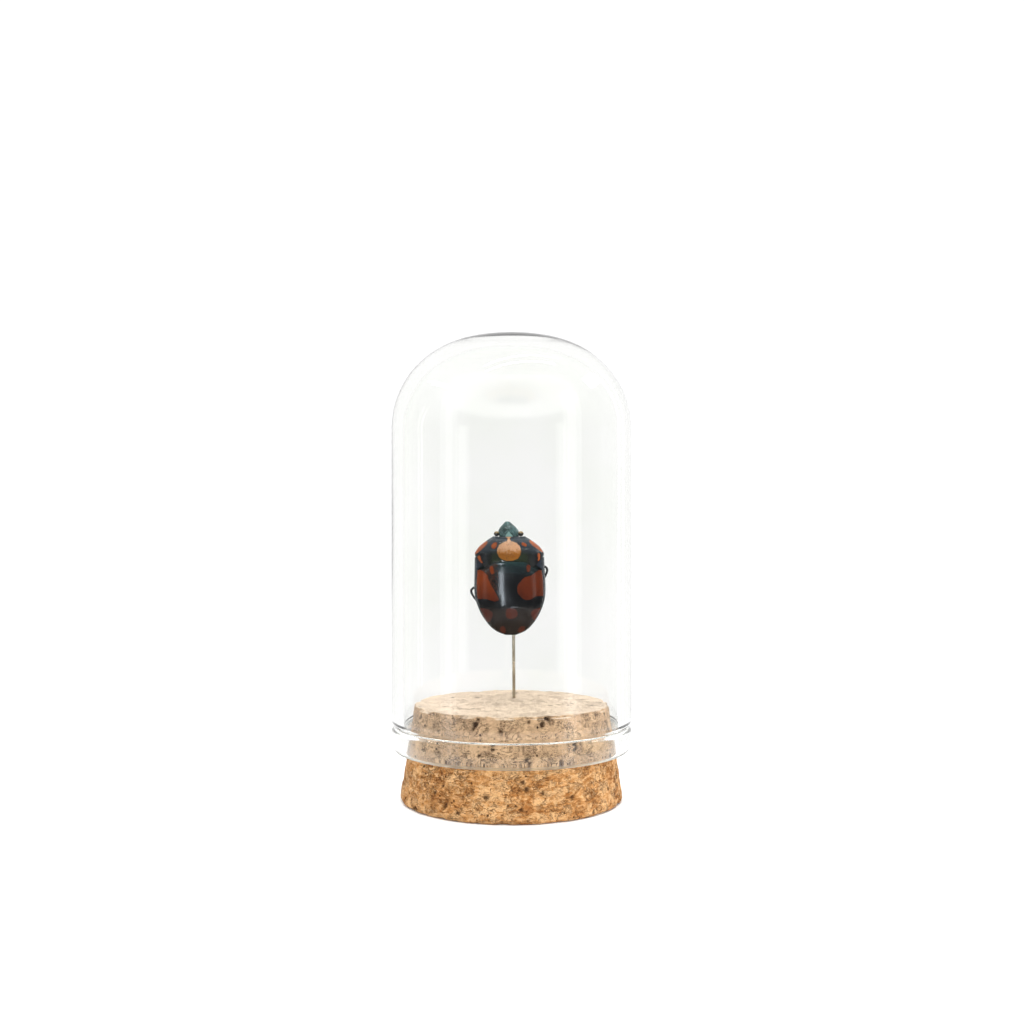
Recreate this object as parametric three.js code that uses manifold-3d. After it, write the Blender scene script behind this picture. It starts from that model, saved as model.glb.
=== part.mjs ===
// A jewel bug mounted on a pin inside a small glass dome that stands on a tapered cork.
// Millimetres, +Z up, origin at the centre of the cork's underside. The bug's back faces -Y, head up.
import * as THREE from "three";
import { mergeVertices } from "three/addons/utils/BufferGeometryUtils.js";
import Module from "manifold-3d";

const wasm = await Module();
wasm.setup();

// ---- driving dimensions -------------------------------------------------

const cork = {
  height: 14.8,
  bottomRadius: 17.2,
  topRadius: 14.9,
  bottomRound: 0.6,
  topRound: 0.35,
};

const dome = {
  outerRadius: 18.5,
  wall: 1.9,
  topHeight: 71.2, // above the cork's underside
  lipBottom: 7.6, // the rim stands this far up the cork
  lipRound: 1.1,
  shoulderRadius: 13.7, // the curve between the tube and the crown
  crownRadius: 31,
  grooveHeight: 11.4, // the pinched ring that grips the cork
  grooveDepth: 0.4,
  grooveHalfWidth: 0.7,
  neckTop: 10.4, // the wall grips the cork up to here
  pinchTop: 11.9, // where the wall is back at its full bore
  corkGap: 0.1,
  segments: 40,
};

const pin = {
  radius: 0.25,
  bore: 0.32, // radius of the hole that it makes
  foot: new THREE.Vector3(0.37, 5.4, 7.2), // its lower end, inside the cork
  top: new THREE.Vector3(0.37, 1.6, 33), // its upper end, inside the abdomen
  sides: 12,
};

// The bug's own frame: x is across, -y is out of its back and -z runs from the head's tip to the tail.
// Its forms are given as if it hung upright; sway, slope and size are applied to all of them.
const bug = {
  origin: new THREE.Vector3(-0.41, 2.3, 42.6),
  size: new THREE.Vector3(1.028, 1.018, 1),
  sway: 0.016, // how far it drifts to the right for each millimetre down
  slope: 0.14, // how far the back comes forward for each millimetre down
  tip: -0.2,
  tail: 17.5,
  plateThickness: 0.42,
  gap: 0.1, // between neighbouring plates
  flange: 0.55, // the abdomen's rim outside the scutellum
};

const eye = { radius: 0.43, flatness: 0.9, across: 1.84, along: 1.76, out: 0.12, socket: 0.06 };

// ---- small helpers ------------------------------------------------------

const lerp = THREE.MathUtils.lerp;
const clamp = THREE.MathUtils.clamp;

// A smooth function through [place, value] knots.
function through(...knots) {
  const curve = new THREE.SplineCurve(knots.map(([at, value]) => new THREE.Vector2(at, value)));
  const points = curve.getPoints(knots.length * 24);
  return (at) => {
    const k = points.findIndex((p) => p.x >= at);
    if (k < 0) return points[points.length - 1].y;
    if (k === 0) return points[0].y;
    const [a, b] = [points[k - 1], points[k]];
    return lerp(a.y, b.y, (at - a.x) / Math.max(b.x - a.x, 1e-9));
  };
}

// A closed geometry as a solid, for cutting and joining.
function solidOf(geometry) {
  const bare = geometry.index ? geometry.toNonIndexed() : geometry.clone();
  bare.deleteAttribute("normal");
  bare.deleteAttribute("uv");
  const merged = mergeVertices(bare, 1e-4);
  const made = new wasm.Manifold(
    new wasm.Mesh({
      numProp: 3,
      vertProperties: merged.attributes.position.array,
      triVerts: new Uint32Array(merged.index.array),
    }),
  );
  return made;
}

function geometryOf(solid) {
  const mesh = solid.getMesh();
  return new THREE.BufferGeometry()
    .setAttribute("position", new THREE.BufferAttribute(mesh.vertProperties, 3))
    .setIndex(new THREE.BufferAttribute(mesh.triVerts, 1));
}

// Turns a geometry's faces outwards if a mapping has left them facing in.
function facingOut(geometry) {
  const p = geometry.attributes.position;
  const index = geometry.index;
  const [a, b, c] = [new THREE.Vector3(), new THREE.Vector3(), new THREE.Vector3()];
  let volume = 0;
  for (let i = 0; i < index.count; i += 3) {
    a.fromBufferAttribute(p, index.getX(i));
    b.fromBufferAttribute(p, index.getX(i + 1));
    c.fromBufferAttribute(p, index.getX(i + 2));
    volume += a.dot(b.cross(c));
  }
  if (volume < 0)
    for (let i = 0; i < index.count; i += 3) {
      const second = index.getX(i + 1);
      index.setX(i + 1, index.getX(i + 2));
      index.setX(i + 2, second);
    }
  return geometry;
}

// A point across, down and out of the back, in the bug's own frame.
function inPlace(u, s, d) {
  return [u + bug.sway * s, -d - bug.slope * s, -s];
}

// A box whose three directions become across (-1 to 1), along (0 to 1) and through (0 at the belly side).
function plate(place, acrossSteps, alongSteps) {
  const box = new THREE.BoxGeometry(1, 1, 1, acrossSteps, 1, alongSteps);
  const p = box.attributes.position;
  for (let i = 0; i < p.count; i++) {
    const across = Math.sin(p.getX(i) * 2 * right); // closer steps near the sides
    p.setXYZ(i, ...inPlace(...place(across, p.getZ(i) + 0.5, p.getY(i) + 0.5)));
  }
  return facingOut(box);
}

// A cylinder bent along a curve, with a radius that changes along it.
function limb(curve, radiusAt, sides, steps) {
  const tube = new THREE.CylinderGeometry(1, 1, 1, sides, steps);
  const frames = curve.computeFrenetFrames(steps, false);
  const p = tube.attributes.position;
  for (let i = 0; i < p.count; i++) {
    const t = clamp(p.getY(i) + 0.5, 0, 1);
    const k = Math.round(t * steps);
    const r = radiusAt(t);
    const at = curve
      .getPointAt(t)
      .addScaledVector(frames.normals[k], p.getX(i) * r)
      .addScaledVector(frames.binormals[k], p.getZ(i) * r);
    p.setXYZ(i, at.x, at.y, at.z);
  }
  return facingOut(tube);
}

// A profile of (radius, height) points turned around the z axis.
function turned(profile, segments) {
  return new THREE.LatheGeometry(profile, segments).rotateX(Math.PI / 2);
}

function arc(cx, cz, radius, from, to, steps) {
  return Array.from({ length: steps + 1 }, (_, i) => {
    const a = lerp(from, to, i / steps);
    return new THREE.Vector2(cx + radius * Math.cos(a), cz + radius * Math.sin(a));
  });
}

const right = Math.PI / 2;

// ---- finishes -----------------------------------------------------------

function finish(color, roughness, metalness, extra = {}) {
  return new THREE.MeshStandardMaterial({ color, roughness, metalness, ...extra });
}

const finishes = {
  glass: finish(0xf2f7ee, 0.02, 0, { transparent: true, opacity: 0.25 }),
  cork: finish(0xc89a68, 0.9, 0),
  steel: finish(0xb9b4a4, 0.25, 1),
  shell: finish(0x1a2630, 0.28, 0.2),
  headShell: finish(0x37544f, 0.4, 0.3),
  eye: finish(0x6a5238, 0.2, 0),
  limb: finish(0x1c242b, 0.4, 0.1),
  wing: finish(0x1b2229, 0.45, 0.05),
  belly: finish(0x20282c, 0.4, 0.1),
};

// ---- cork ---------------------------------------------------------------

function corkRadius(z) {
  return lerp(cork.bottomRadius, cork.topRadius, z / cork.height);
}

function makeCork() {
  const { height, bottomRound, topRound } = cork;
  const profile = [
    new THREE.Vector2(0, 0),
    ...arc(corkRadius(bottomRound) - bottomRound, bottomRound, bottomRound, -right, 0, 3),
    ...arc(corkRadius(height - topRound) - topRound, height - topRound, topRound, 0, right, 3),
    new THREE.Vector2(0, height),
  ];
  const body = solidOf(turned(profile, dome.segments));
  return geometryOf(body.subtract(solidOf(pinHole())));
}

// ---- glass dome ---------------------------------------------------------

// Half of a torispherical end: the shoulder's arc, then the crown's, up to the axis.
function domeEnd(radius, shoulder, crown, top, steps) {
  const span = Math.sqrt((crown - shoulder) ** 2 - (radius - shoulder) ** 2);
  const tangent = Math.atan2(span, radius - shoulder);
  const crownAt = top - crown;
  const shoulderArc = arc(radius - shoulder, crownAt + span, shoulder, 0, tangent, steps);
  const crownArc = arc(0, crownAt, crown, tangent, right, 4).slice(1);
  crownArc[crownArc.length - 1].set(0, top);
  return [...shoulderArc, ...crownArc];
}

function makeDome() {
  const { outerRadius, wall, lipBottom, lipRound, grooveHeight, grooveHalfWidth, neckTop } = dome;
  const groove = Array.from({ length: 5 }, (_, i) => {
    const across = i / 2 - 1;
    const deep = dome.grooveDepth * Math.cos((across * Math.PI) / 2) ** 2;
    return new THREE.Vector2(outerRadius - deep, grooveHeight + across * grooveHalfWidth);
  });
  const outside = [
    ...arc(outerRadius - lipRound, lipBottom + lipRound, lipRound, -right, 0, 4),
    ...groove,
    ...domeEnd(outerRadius, dome.shoulderRadius, dome.crownRadius, dome.topHeight, 7),
  ];
  const neck = (z) => corkRadius(z) + dome.corkGap;
  const rimRound = 0.7;
  const inside = [
    ...arc(neck(lipBottom + rimRound) + rimRound, lipBottom + rimRound, rimRound, -right, -2 * right, 3),
    new THREE.Vector2(neck(neckTop), neckTop),
    new THREE.Vector2(neck(neckTop) + 0.25, neckTop + 0.4),
    new THREE.Vector2(outerRadius - wall - 0.2, dome.pinchTop - 0.5),
    new THREE.Vector2(outerRadius - wall, dome.pinchTop),
    ...domeEnd(
      outerRadius - wall,
      dome.shoulderRadius - wall,
      dome.crownRadius - wall,
      dome.topHeight - wall,
      7,
    ),
  ];
  const loop = [...outside, ...inside.reverse()];
  loop.push(loop[0].clone());
  return turned(loop, dome.segments);
}

// ---- pin ----------------------------------------------------------------

// A straight rod between two points of the row frame.
function rod(from, to, radius, sides) {
  const along = to.clone().sub(from);
  const made = new THREE.CylinderGeometry(radius, radius, along.length(), sides);
  made.applyQuaternion(
    new THREE.Quaternion().setFromUnitVectors(new THREE.Vector3(0, 1, 0), along.clone().normalize()),
  );
  return made.translate(...from.clone().addScaledVector(along, 0.5).toArray());
}

function makePin() {
  return rod(pin.foot, pin.top, pin.radius, pin.sides);
}

// The hole that the pin makes, a little longer and wider than the pin.
function pinHole() {
  const spare = pin.top.clone().sub(pin.foot).normalize().multiplyScalar(0.1);
  return rod(pin.foot.clone().sub(spare), pin.top.clone().add(spare), pin.bore, pin.sides);
}

// ---- the bug's form -----------------------------------------------------

const insect = new THREE.Group();
insect.position.copy(bug.origin);
insect.scale.copy(bug.size);

// s runs down the body, u is across, and heights are out of the back (up) or the belly (down).

// Half the body's width, from the pronotum's front to the tail.
const halfWidth = through(
  [2.1, 2.35], [2.8, 3.45], [3.7, 4.58], [4.6, 5.22], [5.2, 5.32], [8, 5.4], [9.8, 5.45],
  [11.4, 5.38], [12.6, 5.1], [13.9, 4.6], [15.2, 3.85], [16.3, 2.95], [17.0, 2.0], [17.5, 0.75],
);
const backHeight = through(
  [2.0, 1.15], [3.2, 1.95], [4.6, 2.6], [6.2, 3.0], [8.2, 3.15], [10.5, 3.08], [12.8, 2.62],
  [14.8, 1.85], [16.4, 1.02], [17.5, 0.35],
);
const bellyDepth = through(
  [2.0, 1.5], [4, 2.2], [6.2, 2.65], [8.5, 2.8], [11, 2.6], [13.5, 2.0], [15.5, 1.25], [17.5, 0.3],
);

// The back's height at a point, or that of a form that lies inset under it.
function back(u, s, inset = 0) {
  const across = Math.min(1, Math.abs(u) / Math.max(halfWidth(s) - inset, 0.05));
  return Math.max(0, backHeight(s) - inset) * (1 - across ** 2.2) ** 0.55;
}

function belly(u, s, spread = 0) {
  const across = Math.min(1, Math.abs(u) / (halfWidth(s) + spread));
  return bellyDepth(s) * (1 - across ** 2.2) ** 0.75;
}

// Where the scutellum begins: a low arch that steps back at its corners.
function scutellumFront(u) {
  const step = THREE.MathUtils.smoothstep(Math.abs(u), 2.1, 4.2);
  return 6.2 + 0.016 * u * u + 0.9 * step;
}

const humeral = { across: 5.3, along: 5.15 }; // the pronotum's widest corners
const lobe = { across: 3.7, along: 7.0 }; // its rear corners

function pronotumRear(u) {
  const out = Math.abs(u);
  if (out < lobe.across) return scutellumFront(u) - bug.gap - 0.02;
  return lerp(lobe.along, humeral.along, (out - lobe.across) / (humeral.across - lobe.across));
}

function makePronotum() {
  const front = 2.15;
  return plate(
    (a, t, h) => {
      const edge = lerp(front, humeral.along, t);
      const u = a * halfWidth(edge);
      const rear = pronotumRear(a * humeral.across) - humeral.along;
      const s = edge + t * rear + (1 - t) * 0.14 * (1 - a * a);
      return [u, s, lerp(-belly(u, s), back(u, s), h)];
    },
    16,
    7,
  );
}

const scutellumEdge = through(
  [7.4, 4.86], [8.5, 5.02], [9.8, 5.08], [11.2, 5.08], [12.3, 4.92], [13.5, 4.55], [14.9, 3.9],
  [16.1, 3.02], [16.9, 2.02], [17.4, 0.8],
);

function makeScutellum() {
  const from = 7.4;
  const to = 17.4;
  return plate(
    (a, t, h) => {
      const edge = lerp(from, to, 1 - (1 - t) ** 1.25);
      const u = a * scutellumEdge(edge);
      const s = edge + (1 - t) ** 2 * (scutellumFront(a * scutellumEdge(from)) - from);
      const under = Math.max(back(u, s, bug.plateThickness), 0.06);
      return [u, s, lerp(under, Math.max(back(u, s), 0.2), h)];
    },
    14,
    14,
  );
}

// The exposed edge of a folded forewing: a triangle behind the pronotum's corner, then a strip beside the
// scutellum. Its inner edge follows the pronotum for the first rows and the scutellum for the rest.
function makeForewing(side) {
  const rows = 12;
  const cornerRows = 3;
  return plate(
    (a, t, h) => {
      const row = t * rows;
      const beside = lerp(7.3, 12.7, (row - cornerRows - 1) / (rows - cornerRows - 1));
      const byPronotum = row < cornerRows + 0.5;
      const byScutellum = scutellumEdge(Math.max(beside, 7.4)) + bug.gap;
      const innerU = byPronotum ? lerp(5.08, 3.98, row / cornerRows) : byScutellum;
      const innerS = byPronotum ? pronotumRear(innerU) + bug.gap : beside;
      const outerS = byPronotum ? lerp(5.55, 6.8, row / cornerRows) : beside;
      const across = (a + 1) / 2;
      const s = lerp(innerS, outerS, across);
      const u = lerp(innerU, Math.max(halfWidth(outerS) - 0.02, innerU + 0.12), across);
      const under = Math.max(back(u, s, bug.flange), 0) + 0.08;
      return [side * u, s, lerp(under, Math.max(back(u, s) - 0.06, under + 0.12), h)];
    },
    2,
    rows,
  );
}

// The body under the plates, from one place along it to another.
function trunk(from, to, frontAt, acrossSteps, alongSteps) {
  const made = plate(
    (a, t, h) => {
      const edge = lerp(from, to, 1 - (1 - t) ** 1.2);
      const u = a * (halfWidth(edge) - 0.03);
      const s = edge + (1 - t) * (frontAt(u) - from);
      const over = Math.max(back(u, s, bug.flange), 0) - 0.03;
      return [u, s, lerp(-Math.max(belly(u, s), 0.12), over, h)];
    },
    acrossSteps,
    alongSteps,
  );
  return made;
}

function makeThorax() {
  return trunk(6.0, 9.2, (u) => Math.max(pronotumRear(u) + bug.gap, 5.4), 16, 5);
}

function makeAbdomen() {
  const made = trunk(9.3, bug.tail, () => 9.3, 16, 9);
  insect.updateMatrixWorld();
  const hole = pinHole().applyMatrix4(insect.matrixWorld.clone().invert());
  return geometryOf(solidOf(made).subtract(solidOf(hole)));
}

// ---- head, eyes, beak and antennae --------------------------------------

const headHalfWidth = through(
  [bug.tip, 0.3], [0, 0.52], [0.2, 0.72], [0.67, 1.17], [1.14, 1.49], [1.6, 1.6], [2.2, 1.5],
);
const headTop = through([bug.tip, -0.15], [0.3, 0.3], [1.1, 0.78], [2.2, 1.1]);
const headUnder = through([bug.tip, 0.45], [0.4, 0.85], [1.2, 1.2], [2.2, 1.45]);
const headRim = -0.3; // height of the head's side margins
const headLean = -0.22; // how far the tip lies to one side of the body's middle

function lean(s) {
  return headLean * (1 - s / 2.4);
}

function makeHead() {
  const made = plate(
    (a, t, h) => {
      const s = lerp(bug.tip, 2.1, 1 - (1 - t) ** 1.3) + 0.09 * (1 - a * a) * t;
      const half = headHalfWidth(s);
      const curve = (1 - Math.abs(a * 0.985) ** 2.4) ** 0.5;
      const over = headRim + (headTop(s) - headRim) * curve;
      const under = -headUnder(s) * curve + headRim * (1 - curve);
      return [a * half + lean(s), s, lerp(under - 0.02, over + 0.02, h)];
    },
    10,
    7,
  );
  const sockets = [-1, 1].map((side) => solidOf(eyeball(side, eye.radius + eye.socket)));
  return geometryOf(sockets.reduce((head, socket) => head.subtract(socket), solidOf(made)));
}

function eyeball(side, radius) {
  const made = new THREE.SphereGeometry(radius, 12, 8);
  const apart = side * eye.across + lean(eye.along);
  return made.scale(1, 1, eye.flatness).translate(...inPlace(apart, eye.along, eye.out));
}

// A line over the belly: knots are [across, along, clear of the belly].
class BellyCurve extends THREE.Curve {
  constructor(knots) {
    super();
    this.line = new THREE.CatmullRomCurve3(knots.map((k) => new THREE.Vector3(...k)), false, "centripetal");
  }
  getPoint(t, target = new THREE.Vector3()) {
    const { x: u, y: s, z: clear } = this.line.getPoint(t);
    const depth = s < 2.1 ? headUnder(s) : belly(u, s, 0.4);
    return target.set(...inPlace(u, s, -depth - clear));
  }
}

// Radii of a limb at even steps along it, thick in the middle of each segment.
function radii(values) {
  return (t) => {
    const at = t * (values.length - 1);
    const k = Math.min(Math.floor(at), values.length - 2);
    return lerp(values[k], values[k + 1], at - k);
  };
}

function makeBeak() {
  const knots = [[-0.22, 0.75, 0.2], [-0.1, 2.0, 0.22], [0, 3.4, 0.2], [0, 5.4, 0.2], [0, 7.2, 0.2]];
  return limb(new BellyCurve(knots), radii([0.16, 0.15, 0.13, 0.12, 0.1, 0.07]), 8, 10);
}

function makeAntenna(side) {
  const knots = [
    [side * 1.0 - 0.12, 1.3, -0.15], [side * 1.45, 2.3, 0.15], [side * 2.1, 3.2, 0.12],
    [side * 2.75, 4.4, 0.12], [side * 2.9, 5.6, 0.12], [side * 2.7, 6.5, 0.12],
  ];
  return limb(new BellyCurve(knots), radii([0.09, 0.08, 0.07, 0.08, 0.08, 0.06]), 6, 12);
}

// ---- legs ---------------------------------------------------------------
// Each is folded under the body: hip, thigh, knee, shin and foot in one dry piece.

const legs = {
  left_foreleg: [
    [-0.85, 4.7, 0.2], [-1.9, 4.75, 0.45], [-3.3, 4.55, 0.55], [-4.05, 4.15, 0.5],
    [-3.7, 3.55, 0.46], [-2.6, 3.1, 0.5], [-1.75, 2.85, 0.42],
  ],
  right_foreleg: [
    [0.85, 4.6, 0.2], [1.9, 4.6, 0.45], [3.2, 4.4, 0.55], [4.0, 4.05, 0.5],
    [3.75, 3.45, 0.46], [2.7, 2.95, 0.5], [1.9, 2.6, 0.42],
  ],
  left_midleg: [
    [-1.0, 7.3, 0.2], [-2.1, 7.05, 0.38], [-3.8, 6.7, 0.34], [-4.7, 6.85, 0.3],
    [-4.4, 7.5, 0.3], [-3.3, 8.0, 0.3], [-2.3, 8.25, 0.26],
  ],
  right_midleg: [
    [1.0, 7.3, 0.2], [2.4, 7.15, 0.36], [4.4, 6.95, 0.32], [5.42, 6.9, 0.28], [5.74, 7.3, 0.26],
    [5.66, 7.9, 0.28], [5.3, 8.8, 0.3], [4.9, 10.4, 0.3], [4.55, 11.9, 0.24],
  ],
  left_hindleg: [
    [-1.0, 9.6, 0.22], [-2.4, 9.8, 0.36], [-4.3, 10.0, 0.32], [-5.45, 10.15, 0.28], [-5.9, 10.6, 0.26],
    [-5.78, 11.2, 0.28], [-5.3, 12.0, 0.3], [-4.3, 13.3, 0.3], [-3.4, 14.4, 0.24],
  ],
  right_hindleg: [
    [1.0, 9.6, 0.22], [2.2, 9.75, 0.38], [3.5, 10.1, 0.34], [4.05, 10.6, 0.3],
    [3.85, 11.4, 0.3], [3.3, 12.8, 0.3], [2.6, 14.3, 0.24],
  ],
};
const legRadii = radii([0.24, 0.24, 0.28, 0.29, 0.26, 0.19, 0.2, 0.19, 0.17, 0.15, 0.12, 0.11, 0.08]);

function makeLeg(knots) {
  return limb(new BellyCurve(knots), legRadii, 7, 18);
}

// ---- the whole ----------------------------------------------------------

function piece(name, geometry, material) {
  const mesh = new THREE.Mesh(geometry, material);
  mesh.name = name;
  return mesh;
}

insect.add(
  piece("head", makeHead(), finishes.headShell),
  piece("left_eye", eyeball(-1, eye.radius), finishes.eye),
  piece("right_eye", eyeball(1, eye.radius), finishes.eye),
  piece("beak", makeBeak(), finishes.limb),
  piece("left_antenna", makeAntenna(-1), finishes.limb),
  piece("right_antenna", makeAntenna(1), finishes.limb),
  piece("pronotum", makePronotum(), finishes.shell),
  piece("scutellum", makeScutellum(), finishes.shell),
  piece("left_forewing", makeForewing(-1), finishes.wing),
  piece("right_forewing", makeForewing(1), finishes.wing),
  piece("thorax", makeThorax(), finishes.belly),
  piece("abdomen", makeAbdomen(), finishes.belly),
);
for (const [name, knots] of Object.entries(legs)) insect.add(piece(name, makeLeg(knots), finishes.limb));

const object = new THREE.Group();
object.add(
  piece("cork_base", makeCork(), finishes.cork),
  piece("glass_dome", makeDome(), finishes.glass),
  piece("insect_pin", makePin(), finishes.steel),
  insect,
);
export default object;
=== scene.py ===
import math
import random

import bpy
import numpy as np
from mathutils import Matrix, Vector, kdtree, noise


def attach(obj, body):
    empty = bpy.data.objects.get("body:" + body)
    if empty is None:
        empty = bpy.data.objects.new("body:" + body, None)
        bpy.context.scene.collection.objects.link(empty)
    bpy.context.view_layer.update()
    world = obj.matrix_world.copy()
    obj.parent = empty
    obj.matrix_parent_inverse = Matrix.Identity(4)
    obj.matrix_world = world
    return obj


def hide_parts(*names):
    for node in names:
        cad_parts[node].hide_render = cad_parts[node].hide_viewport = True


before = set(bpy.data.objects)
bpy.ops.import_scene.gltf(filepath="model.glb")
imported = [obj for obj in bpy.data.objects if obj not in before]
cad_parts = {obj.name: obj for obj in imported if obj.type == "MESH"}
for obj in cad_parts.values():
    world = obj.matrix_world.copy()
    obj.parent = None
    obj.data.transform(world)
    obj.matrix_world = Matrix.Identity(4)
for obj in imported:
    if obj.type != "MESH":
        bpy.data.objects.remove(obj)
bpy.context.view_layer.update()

mm = 0.001
print("frame loaded")


# camera, floor and lights

view = {
    "place": (0.08 * mm, -147.6 * mm, 35.0 * mm),
    "lens": 33.4,
    "shift": 0.0576,  # the camera looks level from above the middle of the picture
}

studio = {
    "wall": 1.06,  # brightness behind the dome, beside white paper in full light
    "room": 0.10,  # brightness on the viewer's side
    "seen": 1.1,  # brightness of the backdrop itself
    "exposure": 0.0,
    "floor": (0.93, 0.93, 0.93, 1),
    "floorClear": (0.060, 0.095),  # the floor fades out into the backdrop between these radii
}

# place in metres, what it aims at, width, height, brightness beside white paper, and what it does:
# "all" lights everything, "soft" lights everything but is mirrored in nothing, "bug" lights the bug alone,
# and "gleam" is only mirrored in the bug's varnished plates
lamps = {
    "leftBox": ((-0.42, -0.23, 0.10), (0, 0, 0.035), 0.11, 0.46, 0.9, "all"),
    "rightBox": ((0.40, -0.24, 0.12), (0, 0, 0.035), 0.12, 0.42, 1.05, "all"),
    "topBar": ((0.03, -0.06, 0.50), (0, 0, 0.04), 0.42, 0.02, 10.0, "all"),
    "leftBar": ((-0.36, -0.02, 0.34), (0, 0, 0.04), 0.24, 0.012, 8.0, "all"),
    "rightLamp": ((0.34, 0.10, 0.34), (0, 0, 0.05), 0.07, 0.07, 5.0, "all"),
    "rearStrip": ((0.30, 0.24, 0.13), (0, 0, 0.04), 0.02, 0.40, 2.0, "all"),
    "ceiling": ((0.0, -0.05, 0.60), (0, 0, 0.03), 0.60, 0.60, 3.9, "soft"),
    "fill": ((-0.26, -0.50, 0.24), (0, 0, 0.03), 0.45, 0.45, 2.5, "soft"),
    "sideFill": ((0.46, -0.22, 0.12), (0, 0, 0.02), 0.32, 0.32, 5.0, "soft"),
    "bugSheen": ((0.0, -0.12, 0.62), (0, 0, 0.034), 0.50, 0.20, 1.0, "bug"),
    "bugStreak": ((-0.067, -0.25, 0.073), (-0.001, 0, 0.034), 0.005, 0.13, 240.0, "gleam"),
    "bugStreakLow": ((-0.0160, -0.075, 0.015), (-0.001, 0, 0.030), 0.0018, 0.024, 140.0, "gleam"),
    "bugGlint": ((0.0006, -0.075, 0.0158), (0, 0, 0.0306), 0.0025, 0.007, 12.0, "gleam"),
    "bugGlintHigh": ((0.0, -0.25, 0.127), (0, 0, 0.0348), 0.008, 0.03, 7.0, "gleam"),
    "bugGlintLow": ((0.0067, -0.057, 0.004), (0, 0, 0.0293), 0.012, 0.002, 30.0, "gleam"),
}


def makeCamera():
    data = bpy.data.cameras.new("camera")
    data.lens = view["lens"]
    data.sensor_width = 36
    data.shift_y = view["shift"]
    data.clip_start = 0.005
    data.clip_end = 20
    camera = bpy.data.objects.new("camera", data)
    camera.location = view["place"]
    camera.rotation_euler = (math.pi / 2, 0, 0)
    bpy.context.scene.collection.objects.link(camera)
    bpy.context.scene.camera = camera


bugPieces = bpy.data.collections.new("bugPieces")  # what the bug's own lamps light


def makeLamps():
    for name, (place, aim, width, height, brightness, work) in lamps.items():
        data = bpy.data.lights.new(name, "AREA")
        data.shape = "RECTANGLE"
        data.size = width
        data.size_y = height
        data.energy = brightness * math.pi * width * height
        lamp = bpy.data.objects.new(name, data)
        lamp.location = place
        turn = (Vector(aim) - Vector(place)).to_track_quat("-Z", "Y")
        lamp.rotation_euler = turn.to_euler()
        lamp.visible_camera = False
        if work == "soft":
            lamp.visible_glossy = False
            lamp.visible_transmission = False
        if work == "gleam":
            lamp.visible_diffuse = False
            data.color = (0.82, 0.90, 1.0)
        if work in ("bug", "gleam"):
            lamp.light_linking.receiver_collection = bugPieces
            data.cycles.use_multiple_importance_sampling = False  # found by sampling the lamp, through the dome
        bpy.context.scene.collection.objects.link(lamp)


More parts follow.
